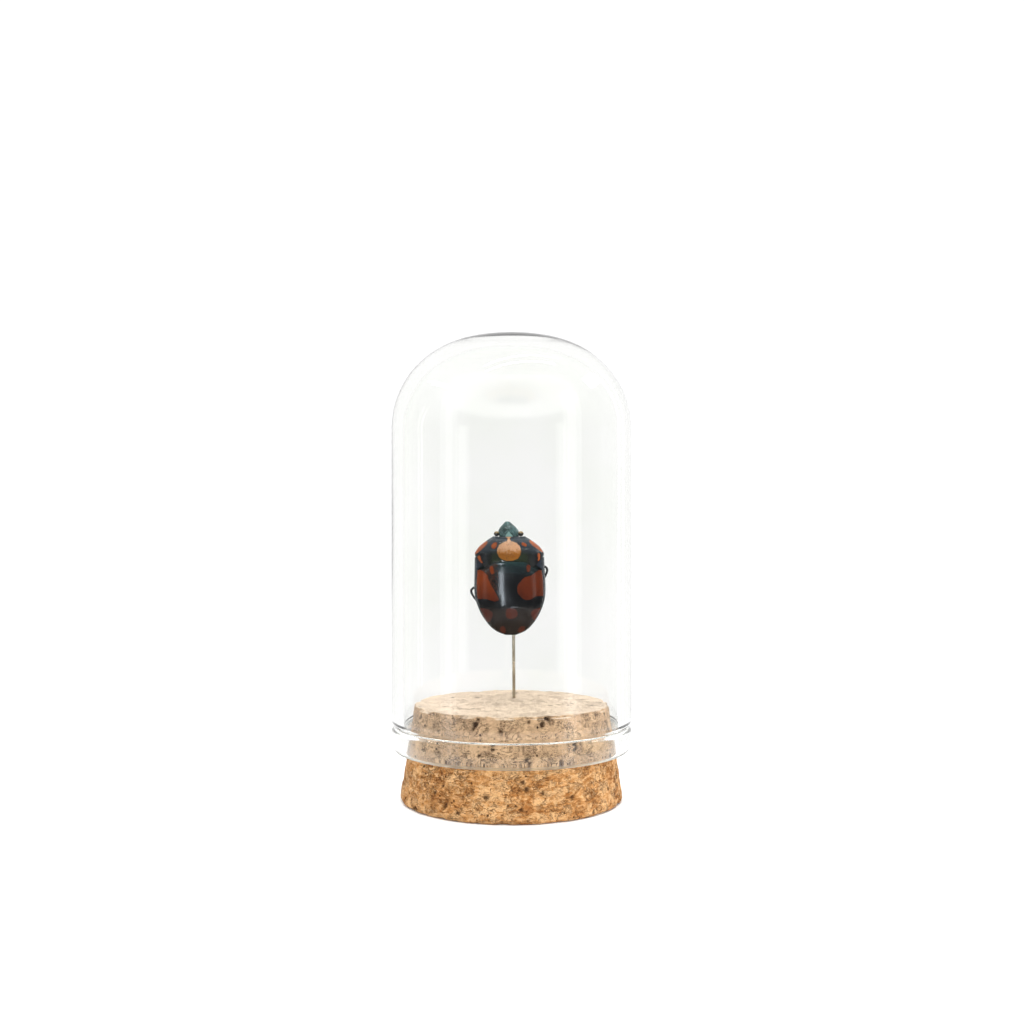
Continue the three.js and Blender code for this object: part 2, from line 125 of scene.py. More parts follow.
def makeStudio():
    world = bpy.data.worlds.new("studio")
    bpy.context.scene.world = world
    world.use_nodes = True
    nodes, links = world.node_tree.nodes, world.node_tree.links
    nodes.clear()
    out = nodes.new("ShaderNodeOutputWorld")
    sky = nodes.new("ShaderNodeBackground")
    place = nodes.new("ShaderNodeTexCoord")
    split = nodes.new("ShaderNodeSeparateXYZ")
    links.new(place.outputs["Generated"], split.inputs[0])

    def figure(operation, first, second):
        node = nodes.new("ShaderNodeMath")
        node.operation = operation
        for socket, given in zip(node.inputs, (first, second)):
            if isinstance(given, float):
                socket.default_value = given
            else:
                links.new(given, socket)
        return node.outputs[0]

    # brighter away from level, and more so below
    high = figure("MAXIMUM", figure("MULTIPLY", split.outputs["Z"], 0.25), figure("MULTIPLY", split.outputs["Z"], -0.7))
    fade = nodes.new("ShaderNodeMapRange")  # from the room in front to the wall behind and above
    fade.interpolation_type = "SMOOTHSTEP"
    fade.inputs["From Min"].default_value = -0.15
    fade.inputs["From Max"].default_value = 0.95
    fade.inputs["To Min"].default_value = studio["room"]
    fade.inputs["To Max"].default_value = studio["wall"]
    links.new(figure("ADD", high, split.outputs["Y"]), fade.inputs["Value"])
    # looked at through the glass the backdrop is pale all round, and inside its wall nearly so
    seen = nodes.new("ShaderNodeLightPath")
    through = figure("MULTIPLY", figure("LESS_THAN", seen.outputs["Diffuse Depth"], 0.5), seen.outputs["Is Transmission Ray"])
    around = nodes.new("ShaderNodeMapRange")
    around.interpolation_type = "SMOOTHSTEP"
    around.inputs["From Min"].default_value = -0.85
    around.inputs["From Max"].default_value = -0.5
    around.inputs["To Min"].default_value = studio["room"]
    around.inputs["To Max"].default_value = studio["wall"]
    links.new(split.outputs["Y"], around.inputs["Value"])
    insideWall = nodes.new("ShaderNodeMix")
    links.new(figure("MULTIPLY", through, figure("LESS_THAN", seen.outputs["Transmission Depth"], 2.5)), insideWall.inputs[0])
    links.new(fade.outputs[0], insideWall.inputs[2])
    links.new(around.outputs[0], insideWall.inputs[3])
    behindGlass = nodes.new("ShaderNodeMix")
    links.new(figure("MULTIPLY", through, figure("LESS_THAN", seen.outputs["Glossy Depth"], 0.5)), behindGlass.inputs[0])
    links.new(insideWall.outputs[0], behindGlass.inputs[2])
    behindGlass.inputs[3].default_value = studio["wall"]
    bright = nodes.new("ShaderNodeMix")
    links.new(seen.outputs["Is Camera Ray"], bright.inputs[0])
    links.new(behindGlass.outputs[0], bright.inputs[2])
    bright.inputs[3].default_value = studio["seen"]
    links.new(bright.outputs[0], sky.inputs["Strength"])
    links.new(sky.outputs[0], out.inputs["Surface"])
    sky.inputs["Color"].default_value = (1, 1, 1, 1)
    scene = bpy.context.scene
    scene.view_settings.view_transform = "Standard"
    scene.view_settings.look = "None"
    scene.view_settings.exposure = studio["exposure"]

    size = 4.0
    mesh = bpy.data.meshes.new("floor")
    corners = [(-size, -size, 0), (size, -size, 0), (size, size, 0), (-size, size, 0)]
    mesh.from_pydata(corners, [], [(0, 1, 2, 3)])
    floor = bpy.data.objects.new("floor", mesh)
    floor.location.z = -0.02 * mm
    bpy.context.scene.collection.objects.link(floor)
    paint = bpy.data.materials.new("floorPaint")
    paint.use_nodes = True
    nodes, links = paint.node_tree.nodes, paint.node_tree.links
    bsdf = nodes["Principled BSDF"]
    bsdf.inputs["Base Color"].default_value = studio["floor"]
    bsdf.inputs["Roughness"].default_value = 0.9
    bsdf.inputs["Specular IOR Level"].default_value = 0.1
    far = nodes.new("ShaderNodeVectorMath")
    far.operation = "LENGTH"
    links.new(nodes.new("ShaderNodeTexCoord").outputs["Object"], far.inputs[0])
    clear = nodes.new("ShaderNodeMapRange")
    clear.interpolation_type = "SMOOTHSTEP"
    clear.inputs["From Min"].default_value = studio["floorClear"][1]
    clear.inputs["From Max"].default_value = studio["floorClear"][0]
    links.new(far.outputs["Value"], clear.inputs["Value"])
    links.new(clear.outputs[0], bsdf.inputs["Alpha"])
    mesh.materials.append(paint)


makeCamera()
makeLamps()
makeStudio()
print("camera, floor and lights placed")


# nodes


class Graph:
    # a small wrapper for building one material's or one group's nodes
    def __init__(self, tree):
        self.tree = tree

    def add(self, kind, settings=None, **values):
        node = self.tree.nodes.new(kind)
        for key, value in (settings or {}).items():
            setattr(node, key, value)
        for key, value in values.items():
            self.put(node.inputs[key.replace("_", " ")], value)
        return node

    def put(self, socket, value):
        if isinstance(value, bpy.types.NodeSocket):
            self.tree.links.new(value, socket)
        else:
            socket.default_value = value

    def math(self, operation, a, b=0.0, clamp=False):
        node = self.add("ShaderNodeMath", {"operation": operation, "use_clamp": clamp})
        self.put(node.inputs[0], a)
        self.put(node.inputs[1], b)
        return node.outputs[0]

    def mix(self, factor, a, b, blend="MIX"):
        node = self.add("ShaderNodeMix", {"data_type": "RGBA", "blend_type": blend})
        self.put(node.inputs[0], factor)
        self.put(node.inputs[6], a)
        self.put(node.inputs[7], b)
        return node.outputs[2]

    def span(self, value, low, high, toLow=0.0, toHigh=1.0, smooth=True):
        node = self.add("ShaderNodeMapRange", {"interpolation_type": "SMOOTHSTEP" if smooth else "LINEAR"})
        for key, given in zip(("Value", "From Min", "From Max", "To Min", "To Max"), (value, low, high, toLow, toHigh)):
            self.put(node.inputs[key], given)
        return node.outputs[0]

    def ramp(self, value, *stops):
        node = self.add("ShaderNodeValToRGB")
        self.put(node.inputs[0], value)
        bar = node.color_ramp.elements
        while len(bar) < len(stops):
            bar.new(0.5)
        for element, (at, color) in zip(bar, stops):
            element.position = at
            element.color = color
        return node.outputs[0]

    def noise(self, vector, scale, detail=3.0, roughness=0.5, distortion=0.0):
        node = self.add("ShaderNodeTexNoise", Vector=vector, Scale=scale, Detail=detail,
                        Roughness=roughness, Distortion=distortion)
        return node.outputs[0]

    def group(self, name, **values):
        node = self.add("ShaderNodeGroup", {"node_tree": bpy.data.node_groups[name]}, **values)
        return node.outputs


def rgb(hexColor):
    # a web colour as linear light
    parts = [int(hexColor[i:i + 2], 16) / 255 for i in (0, 2, 4)]
    return tuple(((c + 0.055) / 1.055) ** 2.4 if c > 0.04045 else c / 12.92 for c in parts) + (1,)


def startGroup(name, inputs, outputs):
    tree = bpy.data.node_groups.new(name, "ShaderNodeTree")
    for label, kind, value in inputs:
        socket = tree.interface.new_socket(label, in_out="INPUT", socket_type=kind)
        if value is not None:
            socket.default_value = value
    for label, kind in outputs:
        tree.interface.new_socket(label, in_out="OUTPUT", socket_type=kind)
    graph = Graph(tree)
    return graph, graph.add("NodeGroupInput").outputs, graph.add("NodeGroupOutput").inputs


def makePunctureGroup():
    # the small round pits that cover a bug's shell
    graph, given, out = startGroup(
        "punctures",
        [("Vector", "NodeSocketVector", None), ("Density", "NodeSocketFloat", 4500.0),
         ("Pit Size", "NodeSocketFloat", 0.35), ("Patchiness", "NodeSocketFloat", 0.3)],
        [("Pit", "NodeSocketFloat"), ("Height", "NodeSocketFloat")],
    )
    cells = graph.add("ShaderNodeTexVoronoi", {"feature": "F1"}, Vector=given["Vector"], Scale=given["Density"])
    patch = graph.noise(given["Vector"], 700.0, 2.0)
    shrink = graph.math("MULTIPLY", graph.span(patch, 0.35, 0.65), given["Patchiness"])
    size = graph.math("MULTIPLY", given["Pit Size"], graph.math("SUBTRACT", 1.0, shrink))
    pit = graph.span(cells.outputs["Distance"], size, graph.math("MULTIPLY", size, 0.35))
    graph.put(out["Pit"], pit)
    graph.put(out["Height"], graph.math("SUBTRACT", 1.0, pit))


def makeMottleGroup():
    # slow and quick changes of tone, from 0 to 1
    graph, given, out = startGroup(
        "mottle",
        [("Vector", "NodeSocketVector", None), ("Scale", "NodeSocketFloat", 600.0),
         ("Contrast", "NodeSocketFloat", 0.5)],
        [("Tone", "NodeSocketFloat")],
    )
    wide = graph.noise(given["Vector"], given["Scale"], 4.0, 0.6)
    low = graph.math("SUBTRACT", 0.5, graph.math("MULTIPLY", given["Contrast"], 0.3))
    high = graph.math("ADD", 0.5, graph.math("MULTIPLY", given["Contrast"], 0.3))
    graph.put(out["Tone"], graph.span(wide, low, high))


def makeDustGroup():
    # a thin film that settles on what faces up
    graph, given, out = startGroup(
        "dustFilm",
        [("Vector", "NodeSocketVector", None), ("Scale", "NodeSocketFloat", 3000.0),
         ("Amount", "NodeSocketFloat", 0.2)],
        [("Mask", "NodeSocketFloat")],
    )
    facing = graph.add("ShaderNodeSeparateXYZ", Vector=graph.add("ShaderNodeNewGeometry").outputs["Normal"])
    up = graph.span(facing.outputs["Z"], -0.2, 0.9)
    specks = graph.span(graph.noise(given["Vector"], given["Scale"], 5.0, 0.7), 0.48, 0.7)
    film = graph.math("MULTIPLY", graph.math("ADD", graph.math("MULTIPLY", up, 0.7), 0.3), specks)
    graph.put(out["Mask"], graph.math("MULTIPLY", film, given["Amount"], clamp=True))


makePunctureGroup()
makeMottleGroup()
makeDustGroup()


def startMaterial(name):
    material = bpy.data.materials.new(name)
    material.use_nodes = True
    material.node_tree.nodes.clear()
    graph = Graph(material.node_tree)
    bsdf = graph.add("ShaderNodeBsdfPrincipled")
    out = graph.add("ShaderNodeOutputMaterial")
    graph.put(out.inputs["Surface"], bsdf.outputs[0])
    place = graph.add("ShaderNodeTexCoord").outputs["Object"]
    return material, graph, bsdf.inputs, out.inputs, place


def bumpFrom(graph, height, distance, strength=1.0):
    node = graph.add("ShaderNodeBump", Height=height, Distance=distance, Strength=strength)
    return node.outputs[0]


def attribute(graph, name):
    return graph.add("ShaderNodeAttribute", {"attribute_name": name}).outputs["Fac"]


# meshes


def signedVolume(verts, faces):
    a, b, c = verts[faces[:, 0]], verts[faces[:, 1]], verts[faces[:, 2]]
    total = np.einsum("ij,ij->", a, np.cross(b, c))
    if faces.shape[1] == 4:
        d = verts[faces[:, 3]]
        total += np.einsum("ij,ij->", a, np.cross(c, d))
    return total


def makePiece(name, verts, faces, material, slot, nodes, attributes=None, sharp=None):
    verts = np.asarray(verts, float) * mm
    faces = [tuple(face) for face in faces]
    mesh = bpy.data.meshes.new(name)
    mesh.from_pydata(verts.tolist(), [], faces)
    for label, values in (attributes or {}).items():
        layer = mesh.attributes.new(label, "FLOAT", "POINT")
        layer.data.foreach_set("value", np.asarray(values, np.float32))
    mesh.validate()
    mesh.shade_smooth()
    if sharp:
        mesh.set_sharp_from_angle(angle=math.radians(sharp))
    mesh.materials.append(material)
    piece = bpy.data.objects.new(name, mesh)
    bpy.context.scene.collection.objects.link(piece)
    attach(piece, "root")
    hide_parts(*nodes)
    if slot.startswith("bug"):
        bugPieces.objects.link(piece)
    return piece


def through(*knots):
    # a smooth function through (place, value) knots
    points = np.array(knots, float)
    last = len(points) - 1
    steps = 24 * len(points)
    at = np.linspace(0, last, steps + 1)
    k = np.minimum(at.astype(int), last - 1)
    w = (at - k)[:, None]
    p0, p1 = points[np.maximum(k - 1, 0)], points[k]
    p2, p3 = points[k + 1], points[np.minimum(k + 2, last)]
    v0, v1 = (p2 - p0) / 2, (p3 - p1) / 2
    curve = (2 * p1 - 2 * p2 + v0 + v1) * w**3 + (3 * p2 - 3 * p1 - 2 * v0 - v1) * w**2 + v0 * w + p1
    return lambda where: np.interp(where, curve[:, 0], curve[:, 1])


def smooth(value, low, high):
    w = np.clip((np.asarray(value, float) - low) / (high - low), 0, 1)
    return w * w * (3 - 2 * w)


def lerp(a, b, w):
    return a + (b - a) * w


def lathe(profile, segments):
    # a profile of (radius, height) points turned about the z axis; returns verts and faces
    profile = np.array(profile, float)
    onAxis = profile[:, 0] < 1e-6
    angles = np.linspace(0, 2 * math.pi, segments, endpoint=False)
    verts, rings = [], []
    for (r, z), axis in zip(profile, onAxis):
        start = len(verts)
        if axis:
            verts.append((0, 0, z))
            rings.append([start] * segments)
        else:
            verts.extend((r * math.cos(t), r * math.sin(t), z) for t in angles)
            rings.append(list(range(start, start + segments)))
    faces = []
    pairs = list(zip(rings, rings[1:]))
    if not onAxis[0]:
        pairs.append((rings[-1], rings[0]))
    for low, high in pairs:
        for k in range(segments):
            n = (k + 1) % segments
            face = [low[k], low[n], high[n], high[k]]
            faces.append(tuple(dict.fromkeys(face)))
    return np.array(verts), faces


def arc(cx, cz, radius, start, end, steps):
    angles = np.linspace(start, end, steps + 1)
    return [(cx + radius * math.cos(t), cz + radius * math.sin(t)) for t in angles]


quarter = math.pi / 2


# cork

cork = {
    "height": 14.8,
    "bottomRadius": 17.2,
    "topRadius": 14.9,
    "bottomRound": 0.6,
    "topRound": 0.35,
    "granule": 1.7,  # mean size of the pressed granules
    "flatness": 1.35,  # how much wider than tall they lie
    "seamDepth": 0.09,
    "unevenness": 0.07,
    "pits": 210,
    "seed": 4,
    "pale": rgb("E2B682"),
    "tan": rgb("C48D55"),
    "deep": rgb("9C6434"),
    "line": rgb("5E3820"),
    "bark": rgb("50301B"),
    # painted veil of light on the cork inside the glass
    "paintedVeil": rgb("F5D6B2"),
    # painted top light for the cork's upward faces
    "top": rgb("F5E3CD"),
}


def corkRadius(z):
    return lerp(cork["bottomRadius"], cork["topRadius"], z / cork["height"])


def makeGrainGroup():
    # pressed granules, each its own tone, and the fine curly lines that run through them
    graph, given, out = startGroup(
        "corkGrain",
        [("Vector", "NodeSocketVector", None), ("Scale", "NodeSocketFloat", 650.0),
         ("Line Scale", "NodeSocketFloat", 900.0), ("Line Width", "NodeSocketFloat", 0.03)],
        [("Tone", "NodeSocketFloat"), ("Seam", "NodeSocketFloat"), ("Line", "NodeSocketFloat")],
    )
    drift = graph.add("ShaderNodeTexNoise", Vector=given["Vector"], Scale=1100.0, Detail=4.0, Roughness=0.7)
    shift = graph.add("ShaderNodeVectorMath", {"operation": "SUBTRACT"})
    graph.put(shift.inputs[0], drift.outputs["Color"])
    shift.inputs[1].default_value = (0.5, 0.5, 0.5)
    moved = graph.add("ShaderNodeVectorMath", {"operation": "MULTIPLY_ADD"})
    graph.put(moved.inputs[0], shift.outputs[0])
    moved.inputs[1].default_value = (0.0022, 0.0022, 0.0018)
    graph.put(moved.inputs[2], given["Vector"])
    cells = graph.add("ShaderNodeTexVoronoi", {"feature": "F1"}, Vector=moved.outputs[0], Scale=given["Scale"])
    edges = graph.add("ShaderNodeTexVoronoi", {"feature": "DISTANCE_TO_EDGE"}, Vector=moved.outputs[0],
                      Scale=given["Scale"])
    # every granule looks into another part of the same folded noise, so lines stop at its border
    jump = graph.add("ShaderNodeVectorMath", {"operation": "MULTIPLY_ADD"})
    graph.put(jump.inputs[0], cells.outputs["Color"])
    jump.inputs[1].default_value = (0.02, 0.02, 0.02)
    graph.put(jump.inputs[2], given["Vector"])
    fold = graph.add("ShaderNodeTexNoise", Vector=jump.outputs[0], Scale=given["Line Scale"], Detail=3.0,
                     Roughness=0.55, Distortion=2.2).outputs["Fac"]
    near = graph.math("ABSOLUTE", graph.math("SUBTRACT", fold, 0.5))
    graph.put(out["Tone"], graph.add("ShaderNodeSeparateXYZ", Vector=cells.outputs["Color"]).outputs["X"])
    graph.put(out["Seam"], graph.span(edges.outputs["Distance"], 0.09, 0.0))
    graph.put(out["Line"], graph.span(graph.math("DIVIDE", near, given["Line Width"]), 1.0, 0.25))


makeGrainGroup()


def makeCorkMaterial():
    material, graph, bsdf, out, place = startMaterial("pressedCork")
    flat = graph.add("ShaderNodeMapping", Vector=place, Scale=(1.0, 1.0, cork["flatness"])).outputs[0]
    lying = graph.add("ShaderNodeMapping", Vector=place, Scale=(1.0, 1.0, 2.3)).outputs[0]
    grain = graph.group("corkGrain", Vector=flat, Scale=520.0, Line_Scale=520.0, Line_Width=0.028)
    small = graph.group("corkGrain", Vector=lying, Scale=800.0, Line_Scale=640.0, Line_Width=0.036)
    wander = graph.noise(lying, 520.0, 6.0, 0.74, 1.6)
    tone = graph.math("ADD", graph.math("MULTIPLY", grain["Tone"], 0.14), graph.math("MULTIPLY", small["Tone"], 0.14))
    tone = graph.math("ADD", tone, graph.math("MULTIPLY", attribute(graph, "granule"), 0.06))
    tone = graph.math("ADD", tone, graph.math("MULTIPLY", wander, 0.86))
    color = graph.ramp(tone, (0.42, cork["deep"]), (0.56, cork["tan"]), (0.72, cork["pale"]), (0.86, cork["tan"]))
    # dark lines come and go in patches
    some = graph.span(graph.noise(place, 380.0, 3.0, 0.6), 0.42, 0.6)
    other = graph.span(graph.noise(place, 600.0, 3.0, 0.6, 0.8), 0.4, 0.62)
    lines = graph.math("MULTIPLY", grain["Line"], graph.math("ADD", graph.math("MULTIPLY", some, 0.8), 0.2))
    lines = graph.math("MAXIMUM", lines, graph.math("MULTIPLY", small["Line"], other))
    seams = graph.math("MULTIPLY", graph.math("MULTIPLY", grain["Seam"], some), graph.math("MULTIPLY", other, 0.7))
    seams = graph.math("MAXIMUM", seams, graph.math("MULTIPLY", attribute(graph, "seam"), 0.2))
    # inside the glass the cork is painted paler, a painted veil of light that the glass mirrors over it; the upward cut
    # ends are painted paler still, a painted top light, and plainer
    level = graph.add("ShaderNodeSeparateXYZ", Vector=place).outputs["Z"]
    paintedVeil = graph.span(graph.math("ADD", level, graph.math("MULTIPLY", wander, 1.2 * mm)), 7.6 * mm, 9.0 * mm)
    color = graph.mix(graph.math("MULTIPLY", paintedVeil, 0.58), color, cork["paintedVeil"])
    facing = graph.add("ShaderNodeSeparateXYZ", Vector=graph.add("ShaderNodeNewGeometry").outputs["Normal"])
    # upward faces are painted paler here, a painted top light
    ends = graph.span(facing.outputs["Z"], 0.5, 0.95)
    show = graph.span(ends, 0.0, 1.0, 1.0, 0.3, False)
    color = graph.mix(graph.math("MULTIPLY", ends, 0.78), color, cork["top"])
    color = graph.mix(graph.math("MULTIPLY", graph.math("MULTIPLY", lines, 0.82), show), color, cork["line"])
    color = graph.mix(graph.math("MULTIPLY", graph.math("MULTIPLY", seams, 0.6), show), color, cork["bark"])
    specks = graph.add("ShaderNodeTexVoronoi", {"feature": "F1"}, Vector=place, Scale=1500.0)
    rare = graph.span(graph.add("ShaderNodeSeparateXYZ", Vector=specks.outputs["Color"]).outputs["Y"], 0.9, 0.93)
    speck = graph.math("MULTIPLY", graph.math("MULTIPLY", graph.span(specks.outputs["Distance"], 0.3, 0.16), rare), show)
    hole = graph.math("MAXIMUM", attribute(graph, "pit"), speck)
    color = graph.mix(graph.math("MULTIPLY", hole, 0.85), color, rgb("3A2214"))
    graph.put(bsdf["Base Color"], color)
    graph.put(bsdf["Roughness"], graph.span(tone, 0.3, 0.8, 0.95, 0.75))
    bsdf["Specular IOR Level"].default_value = 0.2
    height = graph.math("ADD", graph.math("MULTIPLY", graph.noise(place, 2600.0, 5.0, 0.7), 0.8),
                        graph.math("MULTIPLY", graph.math("ADD", lines, seams), -0.8))
    height = graph.math("SUBTRACT", height, speck)
    graph.put(bsdf["Normal"], bumpFrom(graph, height, 0.16 * mm, 1.0))
    return material


def makeCork():
    height, low, high = cork["height"], cork["bottomRound"], cork["topRound"]
    around = 420
    topRing = corkRadius(height - high) - high
    footRing = corkRadius(low) - low
    profile = [(0, 0)] + [(r, 0) for r in np.linspace(0.6, footRing - 0.2, 30)]
    profile += arc(footRing, low, low, -quarter, 0, 6)
    profile += [(corkRadius(z), z) for z in np.linspace(low + 0.16, height - high - 0.12, 78)]
    profile += arc(topRing, height - high, high, 0, quarter, 5)
    profile += [(r, height) for r in np.linspace(topRing - 0.25, 0.6, 48)] + [(0, height)]
    verts, faces = lathe(profile, around)

    dice = random.Random(cork["seed"])
    squash = Vector((1 / cork["flatness"], 1 / cork["flatness"], 1.0))
    seeds = []
    count = int(math.pi * 18**2 * 17 / cork["granule"] ** 3 / cork["flatness"] * 0.8)
    tree = kdtree.KDTree(count)
    for k in range(count):
        spot = Vector((dice.uniform(-18, 18), dice.uniform(-18, 18), dice.uniform(-1, 16)))
        tree.insert(spot * squash, k)
        seeds.append((dice.random(), dice.uniform(-1, 1)))
    tree.balance()
    holes = kdtree.KDTree(cork["pits"])
    sizes = []
    for k in range(cork["pits"]):
        turn, z = dice.uniform(0, 2 * math.pi), dice.uniform(0.3, height - 0.4)
        flat = dice.random() < 0.3
        r = dice.uniform(0.3, 1) * corkRadius(z) if flat else corkRadius(z)
        z = dice.choice((0, height)) if flat else z
        holes.insert(Vector((r * math.cos(turn), r * math.sin(turn), z)), k)
        sizes.append(dice.uniform(0.2, 0.46) * (1.6 if dice.random() < 0.12 else 1))
    holes.balance()

    tones, seams, pits = [], [], []
    center = Vector((0, 0, height / 2))
    moved = verts.copy()
    for k, (x, y, z) in enumerate(verts):
        spot = Vector((x, y, z))
        bent = spot + 0.5 * noise.noise_vector(spot * 0.55) + 0.22 * noise.noise_vector(spot * 1.9)
        (_, nearest, d1), (_, _, d2) = tree.find_n(bent * squash, 2)
        tone, lift = seeds[nearest]
        seam = 1 - min((d2 - d1) / 0.26, 1)
        strong = 0.35 + 0.65 * max(0, min(1, 0.5 + 1.6 * noise.noise(spot * 0.5)))
        seam *= strong
        _, hole, away = holes.find(bent)
        size = sizes[hole]
        pit = max(0, 1 - away / size)
        depth = cork["seamDepth"] * seam**2 + size * 0.7 * min(1, pit * 1.6)
        bump = cork["unevenness"] * lift * (1 - seam) + 0.05 * noise.noise(spot * 3.1)
        radial = Vector((x, y, 0)).normalized() if x or y else Vector()
        rim = min(1, max(0, (math.hypot(x, y) - corkRadius(z) + 1.2) / 1.2))
        side = min(1, max(0, 1.6 * rim * min(1, min(z, height - z) / 0.35 + 0.35)))
        push = (bump - depth) * side
        edge = max(0, 1 - min(z, height - z) / 0.9) * rim
        chip = edge * max(0, noise.noise(spot * 0.42 + Vector((9, 0, 0))) - 0.08) * 1.1
        moved[k, :2] += (radial * (push - chip)).to_2d()[:]
        if z > height - high - 0.01:
            moved[k, 2] += (bump - depth * 0.8) * 0.8 - 0.06 - chip * 0.4
        elif z < 0.01:
            moved[k, 2] += max(0, (depth - bump) * 0.8)
        tones.append(tone)
        seams.append(seam)
        pits.append(min(1, pit * 2.6))
    moved[:, 2] = np.clip(moved[:, 2], 0, None)
    faces = [face for face in faces if len(face) > 2]
    makePiece("corkStopper", moved, faces, makeCorkMaterial(), "cork", ["cork_base"],
              {"granule": tones, "seam": seams, "pit": pits})


makeCork()
print("cork built")


# glass dome

dome = {
    "outerRadius": 18.5,
    "wall": 1.9,
    "topHeight": 71.2,
    "lipBottom": 7.6,
    "lipRound": 1.1,
    "rimRound": 0.7,
    "shoulder": 13.7,
    "crown": 31.0,
    "grooveHeight": 11.4,
    "grooveDepth": 0.4,
    "grooveHalfWidth": 0.7,
    "neckTop": 10.4,
    "pinchTop": 11.9,
    "corkGap": 0.1,
    "ripple": 0.05,  # how uneven the pinched ring is
    "ior": 1.47,
    "tint": rgb("F4F5E4"),
    "ground": rgb("F6FBF2"),  # the ground edge of the lip
    "tintDensity": 14.0,
}


def makeGlassMaterial():
    material, graph, bsdf, out, place = startMaterial("domeGlass")
    smear = graph.group("mottle", Vector=place, Scale=55.0, Contrast=0.6)["Tone"]
    height = graph.add("ShaderNodeSeparateXYZ", Vector=place).outputs["Z"]
    ground = graph.span(height, (dome["lipBottom"] + 0.75) * mm, (dome["lipBottom"] + 0.5) * mm)
    clear = graph.mix(smear, rgb("FFFFFF"), rgb("FCFDFB"))
    graph.put(bsdf["Base Color"], graph.mix(ground, clear, dome["ground"]))
    graph.put(bsdf["Roughness"], graph.math("MULTIPLY", ground, 0.4))
    bsdf["IOR"].default_value = dome["ior"]
    bsdf["Transmission Weight"].default_value = 1.0
    drawn = graph.add("ShaderNodeMapping", Vector=place, Scale=(1.0, 1.0, 0.22)).outputs[0]
    wave = graph.noise(drawn, 95.0, 1.0)
    graph.put(bsdf["Normal"], bumpFrom(graph, wave, 0.12 * mm, 0.5))
    haze = graph.add("ShaderNodeVolumeAbsorption", Color=dome["tint"], Density=dome["tintDensity"])
    graph.put(out["Volume"], haze.outputs[0])
    return material


def domeEnd(radius, shoulder, crown, top, steps):
    # the curve between tube and crown, then the crown
    rise = math.sqrt((crown - shoulder) ** 2 - (radius - shoulder) ** 2)
    tangent = math.atan2(rise, radius - shoulder)
    points = arc(radius - shoulder, top - crown + rise, shoulder, 0, tangent, steps)
    points += arc(0, top - crown, crown, tangent, quarter, steps)[1:]
    points[-1] = (0, top)
    return points


def makeDome():
    outer, wall, lip = dome["outerRadius"], dome["wall"], dome["lipBottom"]
    groove = []
    for across in np.linspace(-1, 1, 15):
        deep = dome["grooveDepth"] * math.cos(across * quarter) ** 2
        groove.append((outer - deep, dome["grooveHeight"] + across * dome["grooveHalfWidth"]))
    outside = arc(outer - dome["lipRound"], lip + dome["lipRound"], dome["lipRound"], -quarter, 0, 12)
    outside += groove
    outside += [(outer, z) for z in np.linspace(13.2, 55, 24)]
    outside += domeEnd(outer, dome["shoulder"], dome["crown"], dome["topHeight"], 30)
    inner = outer - wall
    neckTop = dome["neckTop"]
    rim = dome["rimRound"]

    def neck(z):
        return corkRadius(z) + dome["corkGap"]

    inside = arc(neck(lip + rim) + rim, lip + rim, rim, -quarter, -2 * quarter, 8)
    inside += [(neck(z), z) for z in np.linspace(lip + rim + 0.2, neckTop, 12)]
    for w in np.linspace(0, 1, 16)[1:]:
        bulge = w * w * (3 - 2 * w)
        inside.append((lerp(neck(neckTop), inner, bulge**0.8), lerp(neckTop, dome["pinchTop"], w)))
    inside += [(inner, z) for z in np.linspace(12.6, 55, 22)]
    inside += domeEnd(inner, dome["shoulder"] - wall, dome["crown"] - wall, dome["topHeight"] - wall, 30)
    verts, faces = lathe(outside + inside[::-1], 240)
    moved = verts.copy()
    for k, (x, y, z) in enumerate(verts):
        if 9.6 < z < 13 and math.hypot(x, y) < 17.4:
            turn = math.atan2(y, x)
            swell = math.sin(3 * turn + 0.7) * 0.5 + math.sin(8 * turn + 2) * 0.3 + math.sin(17 * turn) * 0.2
            near = math.exp(-((z - 11.2) / 0.6) ** 2)
            moved[k, 2] += dome["ripple"] * 2 * swell * near
    return moved, [face for face in faces if len(face) > 2]


verts, faces = makeDome()
glassDome = makePiece("glassDome", verts, faces, makeGlassMaterial(), "dome_glass", ["glass_dome"])
glassDome.visible_shadow = False  # light falls straight through to the bug
print("glass dome built")


# pin

pin = {
    "radius": 0.25,
    "foot": (0.37, 5.4, 7.2),
    "top": (0.37, 1.6, 33.0),
    "tip": 1.6,  # length of the point inside the cork
    "waver": 0.035,
    "bright": rgb("DAD4C4"),
    "dull": rgb("6E685B"),
}


def makePinMaterial():
    material, graph, bsdf, out, place = startMaterial("pinSteel")
    drawn = graph.add("ShaderNodeMapping", Vector=place, Scale=(1.0, 1.0, 0.08)).outputs[0]
    lines = graph.noise(drawn, 9000.0, 3.0, 0.6)
    stain = graph.group("mottle", Vector=place, Scale=260.0, Contrast=0.5)["Tone"]
    color = graph.mix(graph.math("MULTIPLY", stain, 0.5), pin["bright"], pin["dull"])
    color = graph.mix(graph.math("MULTIPLY", lines, 0.3), color, pin["dull"])
    graph.put(bsdf["Base Color"], color)
    bsdf["Metallic"].default_value = 1.0
    graph.put(bsdf["Roughness"], graph.span(stain, 0.0, 1.0, 0.24, 0.42))
    graph.put(bsdf["Normal"], bumpFrom(graph, lines, 0.01 * mm, 0.6))
    return material


